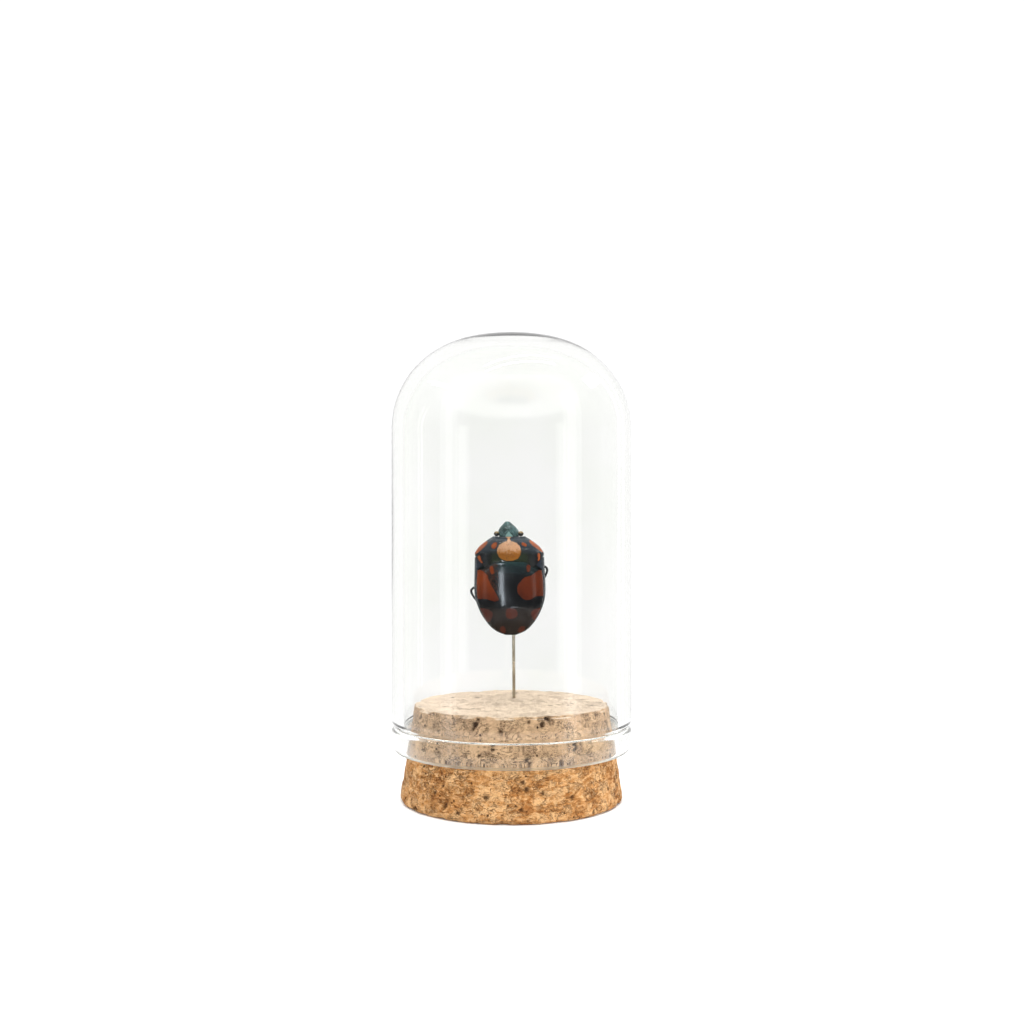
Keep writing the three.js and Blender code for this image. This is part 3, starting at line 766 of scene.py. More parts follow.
def sweep(points, radii, sides, squash=1.0):
    # a closed tube along points, with a radius at each; returns verts and faces
    points = np.array(points, float)
    radii = np.array(radii, float)
    tangents = np.gradient(points, axis=0)
    tangents /= np.linalg.norm(tangents, axis=1)[:, None]
    normal = np.cross(tangents[0], (0.0, 0.0, 1.0))
    if np.linalg.norm(normal) < 0.05:
        normal = np.cross(tangents[0], (1.0, 0.0, 0.0))
    verts = []
    angles = np.linspace(0, 2 * math.pi, sides, endpoint=False)
    for point, tangent, radius in zip(points, tangents, radii):
        normal = normal - tangent * np.dot(normal, tangent)
        normal /= np.linalg.norm(normal)
        other = np.cross(tangent, normal)
        for t in angles:
            verts.append(point + radius * (normal * math.cos(t) + other * math.sin(t) * squash))
    faces = []
    for k in range(len(points) - 1):
        for n in range(sides):
            m = (n + 1) % sides
            faces.append((k * sides + n, k * sides + m, (k + 1) * sides + m, (k + 1) * sides + n))
    start, end = len(verts), len(verts) + 1
    verts += [points[0], points[-1]]
    last = (len(points) - 1) * sides
    for n in range(sides):
        m = (n + 1) % sides
        faces.append((start, m, n))
        faces.append((end, last + n, last + m))
    return np.array(verts), faces


def joined(parts):
    verts, faces = [], []
    count = 0
    for partVerts, partFaces in parts:
        verts.append(partVerts)
        faces += [tuple(k + count for k in face) for face in partFaces]
        count += len(partVerts)
    return np.concatenate(verts), faces


def makePin():
    foot, top = np.array(pin["foot"]), np.array(pin["top"])
    length = np.linalg.norm(top - foot)
    steps = np.concatenate([np.linspace(0, pin["tip"] / length, 8), np.linspace(pin["tip"] / length, 1, 60)[1:]])
    points, radii = [], []
    for w in steps:
        waver = pin["waver"] * math.sin(w * 7.0) * min(1, w * 6, (1 - w) * 6)
        points.append(lerp(foot, top, w) + (waver, 0, 0))
        radii.append(pin["radius"] * min(1, 0.08 + w * length / pin["tip"]))
    verts, faces = sweep(points, radii, 28)
    makePiece("steelPin", verts, faces, makePinMaterial(), "pin_steel", ["insect_pin"], sharp=50)


makePin()
print("pin built")


# the bug's form: u runs across, s down the body, d out of the back

bug = {
    "origin": (-0.41, 2.3, 42.6),
    "size": (1.028, 1.018, 1.0),
    "sway": 0.016,  # how far it drifts to the right for each millimetre down
    "slope": 0.14,  # how far the back comes forward for each millimetre down
    "tip": -0.2,
    "tail": 17.5,
    "plateThickness": 0.42,
    "gap": 0.015,  # between neighbouring plates
    "flange": 0.55,
}

halfWidth = through(
    (2.1, 2.35), (2.8, 3.45), (3.7, 4.58), (4.6, 5.22), (5.2, 5.32), (8, 5.4), (9.8, 5.45),
    (11.4, 5.38), (12.6, 5.1), (13.9, 4.6), (15.2, 3.85), (16.3, 2.95), (17.0, 2.0), (17.5, 0.75),
)
backHeight = through(
    (2.0, 1.15), (3.2, 1.95), (4.6, 2.6), (6.2, 3.0), (8.2, 3.15), (10.5, 3.08), (12.8, 2.62),
    (14.8, 1.85), (16.4, 1.02), (17.5, 0.35),
)
bellyDepth = through(
    (2.0, 1.5), (4, 2.2), (6.2, 2.65), (8.5, 2.8), (11, 2.6), (13.5, 2.0), (15.5, 1.25), (17.5, 0.3),
)
scutellumEdge = through(
    (7.4, 4.86), (8.5, 5.02), (9.8, 5.08), (11.2, 5.08), (12.3, 4.92), (13.5, 4.55), (14.9, 3.9),
    (16.1, 3.02), (16.9, 2.02), (17.4, 0.8),
)
humeral = (5.3, 5.15)
rearLobe = (3.7, 7.0)


def back(u, s, inset=0.0):
    across = np.minimum(1, np.abs(u) / np.maximum(halfWidth(s) - inset, 0.05))
    return np.maximum(0, backHeight(s) - inset) * (1 - across**2.2) ** 0.55


def belly(u, s, spread=0.0):
    across = np.minimum(1, np.abs(u) / (halfWidth(s) + spread))
    return bellyDepth(s) * (1 - across**2.2) ** 0.75


def pronotumFront(u):
    return 2.15 + 0.14 * (1 - (u / 2.1) ** 2)


def scutellumFront(u):
    return 6.2 + 0.016 * u * u + 0.9 * smooth(np.abs(u), 2.1, 4.2)


def pronotumRear(u):
    out = np.abs(u)
    slope = lerp(rearLobe[1], humeral[1], (out - rearLobe[0]) / (humeral[0] - rearLobe[0]))
    return np.where(out < rearLobe[0], scutellumFront(u) - bug["gap"], slope)


def toRow(u, s, d):
    local = np.stack([u + bug["sway"] * s, -d - bug["slope"] * s, -s], axis=-1)
    return np.array(bug["origin"]) + local * np.array(bug["size"])


def closedPlate(place, acrossSteps, alongSteps, rounding=0.12, ends=(True, True)):
    # place(a, t) gives u, s, top and under for a grid; the rim is rounded; returns verts, faces, u, s, isTop
    a = np.sin(np.linspace(-quarter, quarter, acrossSteps + 1))
    t = (1 - np.cos(np.linspace(0, math.pi, alongSteps + 1))) / 2
    t = lerp(t, np.linspace(0, 1, alongSteps + 1), 0.4)
    a, t = np.meshgrid(a, t, indexing="ij")
    u, s, top, under = place(a, t)
    side = np.minimum(np.abs(u - u[:1]), np.abs(u - u[-1:]))
    front = np.abs(s - s[:, :1]) if ends[0] else np.full_like(s, 9.0)
    rear = np.abs(s - s[:, -1:]) if ends[1] else np.full_like(s, 9.0)
    rim = np.minimum(np.minimum(side, front), rear)
    drop = rounding - np.sqrt(np.maximum(0, rounding**2 - np.maximum(0, rounding - rim) ** 2))
    drop = np.minimum(drop, np.maximum(top - under, 0) * 0.45)
    upper = toRow(u, s, top - drop).reshape(-1, 3)
    lower = toRow(u, s, under + drop).reshape(-1, 3)
    rows, cols = u.shape
    index = np.arange(rows * cols).reshape(rows, cols)
    quads = np.stack([index[:-1, :-1], index[:-1, 1:], index[1:, 1:], index[1:, :-1]], -1).reshape(-1, 4)
    total = rows * cols
    border = np.concatenate([index[:-1, 0], index[-1, :-1], index[:0:-1, -1], index[0, :0:-1]])
    following = np.roll(border, -1)
    wall = np.stack([border, following, following + total, border + total], -1)
    faces = np.concatenate([quads, quads[:, ::-1] + total, wall])
    verts = np.concatenate([upper, lower])
    if signedVolume(verts, faces) < 0:
        faces = faces[:, ::-1]
    isTop = np.concatenate([np.ones(total), np.zeros(total)])
    return verts, faces, np.tile(u.ravel(), 2), np.tile(s.ravel(), 2), isTop


# markings, as outlines in the bug's own millimetres: (across, down the body)

marks = {
    "pronotumRust": [
        [(-1.95, 3.1), (-1.8, 3.4), (-1.9, 3.8), (-2.15, 4.15), (-2.5, 4.15), (-2.75, 3.9), (-2.7, 3.55), (-2.4, 3.3)],
        [(1.85, 3.2), (2.2, 3.15), (2.55, 3.4), (2.7, 3.65), (2.5, 3.85), (2.15, 3.75), (1.85, 3.55)],
        [(-3.3, 2.95), (-3.35, 3.4), (-3.75, 3.9), (-4.35, 4.4), (-4.8, 4.8), (-5.2, 5.0), (-5.6, 4.9),
         (-5.4, 4.2), (-4.8, 3.5), (-3.9, 2.9)],
        [(3.1, 2.7), (3.7, 2.8), (4.4, 3.2), (5.1, 3.9), (5.6, 4.6), (5.15, 4.7), (4.7, 4.55), (4.25, 4.15),
         (3.75, 3.8), (3.35, 3.45), (3.1, 3.15)],
        [(-4.8, 5.3), (-4.5, 5.2), (-4.3, 5.5), (-4.25, 5.95), (-4.0, 6.3), (-4.2, 6.4), (-4.55, 6.05), (-4.8, 5.7)],
        [(4.3, 4.8), (4.6, 4.85), (4.7, 5.2), (4.6, 5.7), (4.4, 6.05), (4.25, 6.0), (4.35, 5.6), (4.25, 5.2)],
    ],
    "pronotumPale": [
        [(-0.6, 1.9), (0.4, 1.9), (0.36, 2.3), (0.1, 2.5), (0.1, 2.7), (0.24, 3.0), (0.45, 3.4), (-0.55, 3.4),
         (-0.38, 3.0), (-0.24, 2.7), (-0.26, 2.5), (-0.54, 2.3)],
        [(-0.05, 2.98), (0.55, 3.06), (1.1, 3.25), (1.5, 3.65), (1.72, 4.15), (1.75, 4.65), (1.6, 5.2), (1.25, 5.7),
         (0.7, 6.0), (0, 6.05), (-0.75, 6.0), (-1.35, 5.7), (-1.7, 5.2), (-1.83, 4.65), (-1.78, 4.1),
         (-1.5, 3.6), (-1.1, 3.25), (-0.6, 3.06)],
    ],
    "scutellumRust": [
        [(-2.95, 6.85), (-2.5, 6.85), (-2.4, 7.25), (-2.35, 7.75), (-2.5, 8.1), (-2.75, 8.05), (-2.95, 7.5)],
        [(2.6, 6.7), (3.05, 6.6), (3.15, 6.95), (3.05, 7.5), (2.85, 7.85), (2.6, 7.7), (2.5, 7.25)],
        [(-4.85, 7.35), (-4.45, 7.4), (-3.8, 7.8), (-3.35, 8.2), (-3.25, 8.7), (-3.05, 9.2), (-2.75, 9.85),
         (-2.35, 10.45), (-2.0, 11.15), (-1.6, 11.85), (-1.75, 12.15), (-2.3, 12.25), (-2.7, 12.15),
         (-3.2, 11.95), (-3.8, 11.85), (-4.45, 11.9), (-4.95, 11.9), (-5.0, 10.5), (-4.95, 8.5)],
        [(4.9, 7.3), (4.4, 7.5), (3.9, 7.75), (3.4, 8.2), (2.9, 8.4), (2.35, 8.5), (1.9, 8.8), (1.5, 9.3),
         (1.15, 9.85), (1.05, 10.55), (1.2, 11.05), (1.55, 11.5), (1.95, 11.9), (2.55, 12.05), (3.0, 12.0),
         (3.55, 11.65), (4.05, 11.45), (4.65, 11.45), (5.4, 11.5), (5.85, 11.5), (5.85, 7.3)],
        [(-4.8, 13.3), (-3.8, 13.35), (-3.1, 13.6), (-2.65, 13.95), (-2.6, 14.3), (-2.75, 14.8), (-3.05, 15.4),
         (-3.65, 15.6), (-4.9, 14.1)],
        [(5.05, 13.05), (4.1, 13.35), (3.4, 13.6), (3.05, 13.95), (3.15, 14.5), (3.4, 15.05), (3.7, 15.4),
         (4.5, 14.9), (5.3, 13.45)],
        [(-0.55, 13.45), (0.2, 13.25), (0.9, 13.5), (1.1, 13.95), (1.05, 14.5), (0.6, 14.85), (-0.05, 14.95),
         (-0.5, 14.8), (-0.7, 14.3), (-0.65, 13.8)],
        [(-1.55, 16.25), (-1.1, 16.0), (-0.85, 16.3), (-0.7, 16.75), (-0.85, 17.35), (-1.25, 17.2), (-1.6, 16.7)],
        [(1.25, 16.35), (1.75, 16.05), (2.2, 16.1), (2.1, 16.6), (1.7, 17.0), (1.3, 17.2), (1.05, 16.8)],
    ],
}


def distanceTo(outlines, u, s):
    # millimetres to the nearest outline, below zero inside it
    best = np.full(np.shape(u), 9.0)
    for outline in outlines:
        points = roundedOutline(outline)
        near = np.full(np.shape(u), 1e9)
        inside = np.zeros(np.shape(u), bool)
        for (ax, ay), (bx, by) in zip(points, np.roll(points, -1, axis=0)):
            px, py = u - ax, s - ay
            ex, ey = bx - ax, by - ay
            w = np.clip((px * ex + py * ey) / (ex * ex + ey * ey), 0, 1)
            near = np.minimum(near, np.hypot(px - w * ex, py - w * ey))
            crosses = (ay > s) != (by > s)
            slope = ex / (ey if abs(ey) > 1e-9 else 1e-9)
            inside ^= crosses & (u < ax + (s - ay) * slope)
        best = np.minimum(best, np.where(inside, -near, near))
    return best


def roundedOutline(outline):
    # corners cut twice, so that the outline reads as a curve
    points = np.array(outline, float)
    for _ in range(2):
        following = np.roll(points, -1, axis=0)
        points = np.stack([lerp(points, following, 0.25), lerp(points, following, 0.75)], 1).reshape(-1, 2)
    return points


# shell

shell = {
    "black": rgb("06090D"),
    "teal": rgb("26403F"),
    "slate": rgb("30383F"),
    "brown": rgb("1F1611"),
    "rust": rgb("863A14"),
    "rustDark": rgb("4C1C0B"),
    "peach": rgb("DDAA82"),
    "ochre": rgb("965A1C"),
    "olive": rgb("232D1C"),
    "edge": 0.07,  # softness of a marking's outline
    "gloss": 0.16,
    "coat": 0.5,
}


def markMask(graph, name, place):
    wobble = graph.math("MULTIPLY", graph.math("SUBTRACT", graph.noise(place, 2600.0, 3.0), 0.5), 0.22)
    edge = graph.math("ADD", attribute(graph, name), wobble)
    return graph.span(edge, shell["edge"], -shell["edge"])


def strayMask(graph, name, place, reach):
    # specks of a marking's colour scattered outside its outline
    specks = graph.math("MULTIPLY", graph.math("SUBTRACT", graph.noise(place, 4200.0, 2.0), 0.5), reach * 4.5)
    return graph.span(graph.math("ADD", attribute(graph, name), specks), reach * 0.55, reach * 0.2)


def dressShell(graph, bsdf, place, color, density=3600.0, pitSize=0.26, pitDepth=0.012, dust=0.12, dark=0.55,
               front=False):
    # punctures, a little dust and a varnished gloss, shared by every plate; the front edge can be matt
    pits = graph.group("punctures", Vector=place, Density=density, Pit_Size=pitSize, Patchiness=0.6)
    tone = graph.group("mottle", Vector=place, Scale=900.0, Contrast=0.6)["Tone"]
    color = graph.mix(graph.math("MULTIPLY", pits["Pit"], dark), color, rgb("2A1A14"), "MULTIPLY")
    color = graph.mix(graph.math("MULTIPLY", tone, 0.16), color, rgb("000000"))
    film = graph.group("dustFilm", Vector=place, Scale=5200.0, Amount=dust)["Mask"]
    graph.put(bsdf["Base Color"], graph.mix(film, color, rgb("77756C")))
    rough = graph.math("ADD", graph.math("MULTIPLY", tone, 0.06), graph.math("MULTIPLY", film, 0.5))
    rough = graph.math("ADD", rough, shell["gloss"])
    if front:
        rough = graph.math("MAXIMUM", rough, graph.span(attribute(graph, "fromFront"), 0.16, 0.02, 0.0, 0.95))
    graph.put(bsdf["Roughness"], rough)
    fine = graph.noise(place, 5200.0, 2.0, 0.5)
    height = graph.math("ADD", pits["Height"], graph.math("MULTIPLY", fine, 0.1))
    graph.put(bsdf["Normal"], bumpFrom(graph, height, pitDepth * mm, 1.0))


def makePronotumMaterial():
    material, graph, bsdf, out, place = startMaterial("pronotumShell")
    down = graph.math("DIVIDE", attribute(graph, "down"), 7.0)
    sideways = graph.math("ABSOLUTE", attribute(graph, "across"))
    dark = graph.ramp(down, (0.3, shell["slate"]), (0.6, shell["slate"]), (0.74, shell["black"]), (1.0, shell["black"]))
    low = graph.math("MULTIPLY", graph.span(down, 0.6, 0.78), graph.span(sideways, 3.4, 2.2))
    dark = graph.mix(graph.math("MULTIPLY", low, 0.8), dark, shell["olive"])
    rustTone = graph.mix(graph.noise(place, 700.0, 2.0), shell["rust"], rgb("B8602F"))
    color = graph.mix(markMask(graph, "rustMark", place), dark, rustTone)
    grainy = graph.math("ADD", down, graph.math("MULTIPLY", graph.noise(place, 1900.0, 4.0, 0.65), 0.26))
    pale = graph.ramp(grainy, (0.74, shell["peach"]), (0.8, rgb("BE8048")), (0.86, shell["ochre"]), (1.0, rgb("A3681F")))
    pale = graph.mix(graph.span(graph.noise(place, 3400.0, 2.0), 0.56, 0.7, 0.0, 0.4), pale, rgb("8A5226"))
    color = graph.mix(markMask(graph, "paleMark", place), color, pale)
    dressShell(graph, bsdf, place, color, 3300.0, 0.3, 0.02, 0.1, front=True)
    bsdf["Specular IOR Level"].default_value = 0.4
    return material


def makeScutellumMaterial():
    material, graph, bsdf, out, place = startMaterial("scutellumShell")
    down = graph.math("DIVIDE", attribute(graph, "down"), bug["tail"])
    across = attribute(graph, "across")
    wavy = graph.math("ADD", down, graph.math("MULTIPLY", graph.noise(place, 420.0, 2.0), 0.05))
    dark = graph.ramp(wavy, (0.37, shell["teal"]), (0.43, rgb("182629")), (0.52, shell["black"]), (0.76, shell["black"]),
                      (0.81, shell["brown"]), (1.0, rgb("1C1411")))
    rustTone = graph.mix(graph.span(wavy, 0.5, 0.8), shell["rust"], shell["rustDark"])
    # the right side of the rust is painted darker, a painted shade away from the light on the left
    right = graph.span(across, -0.5, 1.5)
    rustTone = graph.mix(graph.math("MULTIPLY", right, 0.75), rustTone, shell["rustDark"])
    beside = graph.math("MULTIPLY", graph.span(across, -1.5, -1.9), graph.span(wavy, 0.67, 0.6))
    stray = graph.math("MULTIPLY", strayMask(graph, "rustMark", place, 1.3), graph.math("MULTIPLY", beside, 0.6))
    color = graph.mix(stray, dark, rgb("4A2A1B"))
    color = graph.mix(markMask(graph, "rustMark", place), color, rustTone)
    dressShell(graph, bsdf, place, color, 3900.0, 0.2, 0.004, 0.03, 0.35, True)
    polish = graph.math("MULTIPLY", graph.span(attribute(graph, "fromFront"), 0.02, 0.16),
                        graph.span(wavy, 0.74, 0.66, 0.25, 1.0))
    graph.put(bsdf["Coat Weight"], graph.math("MULTIPLY", polish, shell["coat"]))
    bsdf["Coat Roughness"].default_value = 0.13
    bsdf["Specular IOR Level"].default_value = 0.12
    return material


def bumpAt(u, s, cu, cs, ru, rs):
    return np.exp(-(((u - cu) / ru) ** 2 + ((s - cs) / rs) ** 2))


def makePronotum():
    front = 2.15

    def place(a, t):
        edge = lerp(front, humeral[1], t)
        u = a * halfWidth(edge)
        rear = pronotumRear(a * humeral[0]) - humeral[1]
        s = edge + t * rear + (1 - t) * 0.14 * (1 - a * a)
        relief = sum(0.09 * bumpAt(u, s, side * 1.75, 3.1, 0.75, 0.42) for side in (-1, 1))
        relief -= 0.14 * bumpAt(u, s, -2.3, 4.32, 0.42, 0.14) + 0.14 * bumpAt(u, s, 2.35, 4.02, 0.42, 0.14)
        relief -= 0.07 * bumpAt(u, s, 0, 2.95, 0.25, 0.5)
        relief -= 0.10 * np.exp(-(((t - 0.07) / 0.04) ** 2))  # groove behind the front rim
        relief -= 0.05 * np.exp(-(((1 - np.abs(a)) / 0.05 - 1.4) ** 2)) * (t > 0.05)
        top = back(u, s) + relief * smooth(back(u, s), 0.2, 1.0)
        return u, s, top, -belly(u, s)

    verts, faces, u, s, isTop = closedPlate(place, 150, 90, 0.16)
    rust = np.where(isTop > 0, distanceTo(marks["pronotumRust"], u, s), 9)
    pale = np.where(isTop > 0, distanceTo(marks["pronotumPale"], u, s), 9)
    makePiece("pronotumPlate", verts, faces, makePronotumMaterial(), "bug_shell", ["pronotum"],
              {"rustMark": rust, "paleMark": pale, "across": u, "down": s, "fromFront": s - 2.29 + 0.14 * (u / halfWidth(front)) ** 2}, sharp=60)


def makeScutellum():
    first, last = 7.4, 17.4

    def place(a, t):
        edge = lerp(first, last, 1 - (1 - t) ** 1.25)
        u = a * scutellumEdge(edge)
        s = edge + (1 - t) ** 2 * (scutellumFront(a * scutellumEdge(first)) - first)
        relief = -0.05 * np.exp(-(((s - scutellumFront(u)) - 0.42) / 0.14) ** 2)
        relief -= sum(0.10 * bumpAt(u, s, side * 3.35, 7.25, 0.4, 0.3) for side in (-1, 1))
        relief += 0.0007 * np.sin(9 * u + 7 * s + 2 * np.sin(3 * s)) + 0.0005 * np.sin(13 * u - 12 * s)
        under = np.maximum(back(u, s, bug["plateThickness"]), 0.06)
        return u, s, np.maximum(back(u, s), 0.2) + relief, under

    verts, faces, u, s, isTop = closedPlate(place, 170, 170, 0.13)
    rust = np.where(isTop > 0, distanceTo(marks["scutellumRust"], u, s), 9)
    makePiece("scutellumShield", verts, faces, makeScutellumMaterial(), "bug_shell", ["scutellum"],
              {"rustMark": rust, "across": u, "down": s, "fromFront": s - scutellumFront(u)}, sharp=60)


makePronotum()
makeScutellum()
print("shell built")


# forewings, thorax and abdomen

wing = {"dark": rgb("15191E"), "blue": rgb("262F3B")}
underside = {"dark": rgb("161B1F"), "teal": rgb("2F4C49"), "rust": rgb("8A4322"), "segments": 6}


def makeWingMaterial():
    material, graph, bsdf, out, place = startMaterial("forewing")
    tone = graph.group("mottle", Vector=place, Scale=800.0, Contrast=0.8)["Tone"]
    dressShell(graph, bsdf, place, graph.mix(tone, wing["dark"], wing["blue"]), 4200.0, 0.3, 0.014, 0.12)
    bsdf["Specular IOR Level"].default_value = 0.35
    return material


def makeForewing(side, material, name, node):
    rows, cornerRows = 12, 3

    def place(a, t):
        row = t * rows
        beside = lerp(7.3, 12.7, (row - cornerRows - 1) / (rows - cornerRows - 1))
        w = row / cornerRows
        innerA, outerA = lerp(5.08, 3.98, w), lerp(5.55, 6.8, w)
        wide = smooth(row, cornerRows, cornerRows + 1)
        innerU = np.where(row <= cornerRows, innerA, lerp(3.98, scutellumEdge(np.maximum(beside, 7.4)) + bug["gap"], wide))
        innerS = np.where(row <= cornerRows, pronotumRear(innerA) + bug["gap"],
                          lerp(pronotumRear(3.98) + bug["gap"], np.maximum(beside, 7.3), wide))
        outerS = np.where(row <= cornerRows, outerA, lerp(6.8, np.maximum(beside, 7.3), wide))
        w = (a + 1) / 2
        s = lerp(innerS, outerS, w)
        u = lerp(innerU, np.maximum(halfWidth(outerS) - 0.02, innerU + 0.12), w)
        under = np.maximum(back(u, s, bug["flange"]), 0) + 0.08
        top = np.maximum(back(u, s) - 0.06, under + 0.12)
        return side * u, s, top, under

    verts, faces, *_ = closedPlate(place, 24, 120, 0.06)
    makePiece(name, verts, faces, material, "bug_wings", [node], sharp=60)


def makeUndersideMaterial():
    material, graph, bsdf, out, place = startMaterial("underside")
    split = graph.add("ShaderNodeSeparateXYZ", Vector=place)
    tone = graph.group("mottle", Vector=place, Scale=500.0, Contrast=0.7)["Tone"]
    color = graph.mix(tone, underside["dark"], underside["teal"])
    color = graph.mix(graph.math("MULTIPLY", markMask(graph, "sideMark", place), 0.9), color, underside["rust"])
    dressShell(graph, bsdf, place, color, 4200.0, 0.26, 0.012, 0.12)
    bsdf["Specular IOR Level"].default_value = 0.16
    return material


def trunk(first, last, frontAt, acrossSteps, alongSteps, relief):
    def place(a, t):
        edge = lerp(first, last, 1 - (1 - t) ** 1.2)
        u = a * (halfWidth(edge) - 0.03)
        s = edge + (1 - t) * (frontAt(u) - first)
        under = -np.maximum(belly(u, s) + relief(u, s), 0.12)
        return u, s, np.maximum(back(u, s, bug["flange"]), 0) - 0.03, under

    return closedPlate(place, acrossSteps, alongSteps, 0.08)


def thoraxRelief(u, s):
    # the raised midline, the hip sockets and the seams between side plates
    keel = 0.10 * np.exp(-((u / 0.25) ** 2))
    seams = -0.09 * np.exp(-(((np.abs(u) - 2.2 - 0.25 * (s - 7.5)) / 0.09) ** 2))
    seams -= 0.08 * np.exp(-(((s - 7.9 - 0.05 * u * u) / 0.08) ** 2))
    return (keel + seams) * smooth(belly(u, s), 0.3, 1.2)


def abdomenRelief(u, s):
    step = 1.25
    phase = ((s - 9.3 - 0.018 * u * u) / step) % 1.0
    grooves = -0.09 * np.exp(-(((phase - 0.96) / 0.05) ** 2))
    swell = 0.05 * np.sin(phase * math.pi)
    pores = -0.08 * np.exp(-(((np.abs(u) - halfWidth(s) * 0.72) / 0.1) ** 2)) * np.exp(-(((phase - 0.5) / 0.09) ** 2))
    return (grooves + swell + pores) * smooth(belly(u, s), 0.25, 1.0)


def makeTrunk():
    material = makeUndersideMaterial()
    verts, faces, u, s, isTop = trunk(
        6.0, 9.2, lambda u: np.maximum(pronotumRear(u) + bug["gap"], 5.4), 110, 60, thoraxRelief)
    makePiece("thoraxBody", verts, faces, material, "bug_underside", ["thorax"],
              {"sideMark": np.full(len(verts), 9.0)}, sharp=60)
    verts, faces, u, s, isTop = trunk(9.3, bug["tail"], lambda u: 9.3, 130, 150, abdomenRelief)
    phase = ((s - 9.3 - 0.018 * u * u) / 1.25) % 1.0
    spots = np.hypot((np.abs(u) - halfWidth(s) * 0.86) / 0.9, (phase - 0.5) * 1.25) - 0.3
    makePiece("abdomenBody", verts, faces, material, "bug_underside", ["abdomen"],
              {"sideMark": np.where(isTop > 0, 9.0, spots)}, sharp=60)


wingMaterial = makeWingMaterial()
makeForewing(-1, wingMaterial, "forewingLeft", "left_forewing")
makeForewing(1, wingMaterial, "forewingRight", "right_forewing")
makeTrunk()
print("wings and trunk built")


# head, eyes, beak and antennae

head = {
    "lean": -0.22,
    "rim": -0.3,
    "green": rgb("486566"),
    "pale": rgb("8CB2AE"),
    "dark": rgb("2A3B3B"),
}
eye = {
    "radius": 0.45,
    "flatness": 0.9,
    "across": 1.84,
    "along": 1.76,
    "out": 0.12,
    "brown": rgb("5B4127"),
    # painted top light on the eye's upward faces
    "gold": rgb("B59A6A"),
    "dark": rgb("0E0D0C"),
}

headHalfWidth = through(
    (bug["tip"], 0.3), (0, 0.52), (0.2, 0.72), (0.67, 1.17), (1.14, 1.49), (1.6, 1.6), (2.2, 1.5),
)
headTop = through((bug["tip"], -0.15), (0.3, 0.3), (1.1, 0.78), (2.3, 1.16))
headUnder = through((bug["tip"], 0.45), (0.4, 0.85), (1.2, 1.2), (2.2, 1.45))


def lean(s):
    return head["lean"] * (1 - s / 2.4)


def makeHeadMaterial():
    material, graph, bsdf, out, place = startMaterial("headShell")
    tone = graph.group("mottle", Vector=place, Scale=1100.0, Contrast=0.7)["Tone"]
    color = graph.mix(tone, head["green"], head["dark"])
    color = graph.mix(markMask(graph, "paleMark", place), color, head["pale"])
    # pale specks painted over the head, a painted sparkle on its punctures
    light = graph.span(graph.noise(place, 3800.0, 2.0), 0.55, 0.68, 0.0, 0.45)
    color = graph.mix(light, color, head["pale"])
    dressShell(graph, bsdf, place, color, 4200.0, 0.32, 0.02, 0.14)
    bsdf["Coat Weight"].default_value = 0.2
    bsdf["Coat Roughness"].default_value = 0.25
    bsdf["Specular IOR Level"].default_value = 0.4
    return material


def makeHead():
    def place(a, t):
        s = lerp(bug["tip"], 2.12, 1 - (1 - t) ** 1.3)
        s = s + t**3 * (pronotumFront(1.5 * a + lean(2.12)) - bug["gap"] - 2.12)
        half = headHalfWidth(s)
        curve = (1 - np.abs(a * 0.985) ** 2.4) ** 0.5
        over = head["rim"] + (headTop(s) - head["rim"]) * curve
        under = -headUnder(s) * curve + head["rim"] * (1 - curve)
        lobe = 0.3 - 0.05 * s
        groove = -0.07 * np.exp(-(((np.abs(a * half) - lobe) / 0.06) ** 2)) * smooth(s, 0.1, 0.5) * (1 - smooth(s, 1.3, 1.8))
        keel = 0.06 * np.exp(-((a * half / 0.28) ** 2)) * (1 - smooth(s, 1.4, 2.0))
        return a * half + lean(s), s, over + groove + keel + 0.02, under - 0.02

    verts, faces, u, s, isTop = closedPlate(place, 90, 70, 0.1)
    pale = (np.abs(u - lean(s)) - 0.7 * (s - 1.4)) * 0.8
    makePiece("headCapsule", verts, faces, makeHeadMaterial(), "bug_head", ["head"],
              {"paleMark": np.where(isTop > 0, pale, 9.0)}, sharp=60)


def makeEyeMaterial():
    material, graph, bsdf, out, place = startMaterial("compoundEye")
    facets = graph.add("ShaderNodeTexVoronoi", {"feature": "F1"}, Vector=place, Scale=26000.0, Randomness=0.25)
    dome = graph.span(facets.outputs["Distance"], 0.6, 0.0)
    facing = graph.add("ShaderNodeSeparateXYZ", Vector=graph.add("ShaderNodeNewGeometry").outputs["Normal"])
    # upward faces painted gold, a painted top light; the lower faces stay dark
    upper = graph.span(facing.outputs["Z"], -0.1, 0.8)
    color = graph.mix(graph.math("MULTIPLY", upper, 0.8), eye["dark"], eye["gold"])
    color = graph.mix(graph.math("MULTIPLY", dome, 0.3), color, eye["brown"])
    graph.put(bsdf["Base Color"], color)
    graph.put(bsdf["Roughness"], graph.span(dome, 0.0, 1.0, 0.3, 0.16))
    graph.put(bsdf["Normal"], bumpFrom(graph, dome, 0.008 * mm, 0.8))
    return material


def ball(center, radii, across=28, down=18):
    profile = [(math.sin(t), -math.cos(t)) for t in np.linspace(0, math.pi, down + 1)]
    profile[0], profile[-1] = (0, -1), (0, 1)
    verts, faces = lathe(profile, across)
    return verts * np.array(radii) + np.array(center), [face for face in faces if len(face) > 2]


def makeEyes():
    material = makeEyeMaterial()
    for side, name, node in ((-1, "eyeLeft", "left_eye"), (1, "eyeRight", "right_eye")):
        u = side * eye["across"] + lean(eye["along"])
        center = toRow(u, eye["along"], eye["out"])
        r = eye["radius"]
        verts, faces = ball(center, (r, r, r * eye["flatness"]))
        makePiece(name, verts, faces, material, "bug_eyes", [node])


limbs = {
    "dark": rgb("0B0E11"),
    "blue": rgb("19212A"),
    "legSides": 14,
    "hairs": 46,
    "seed": 11,
}


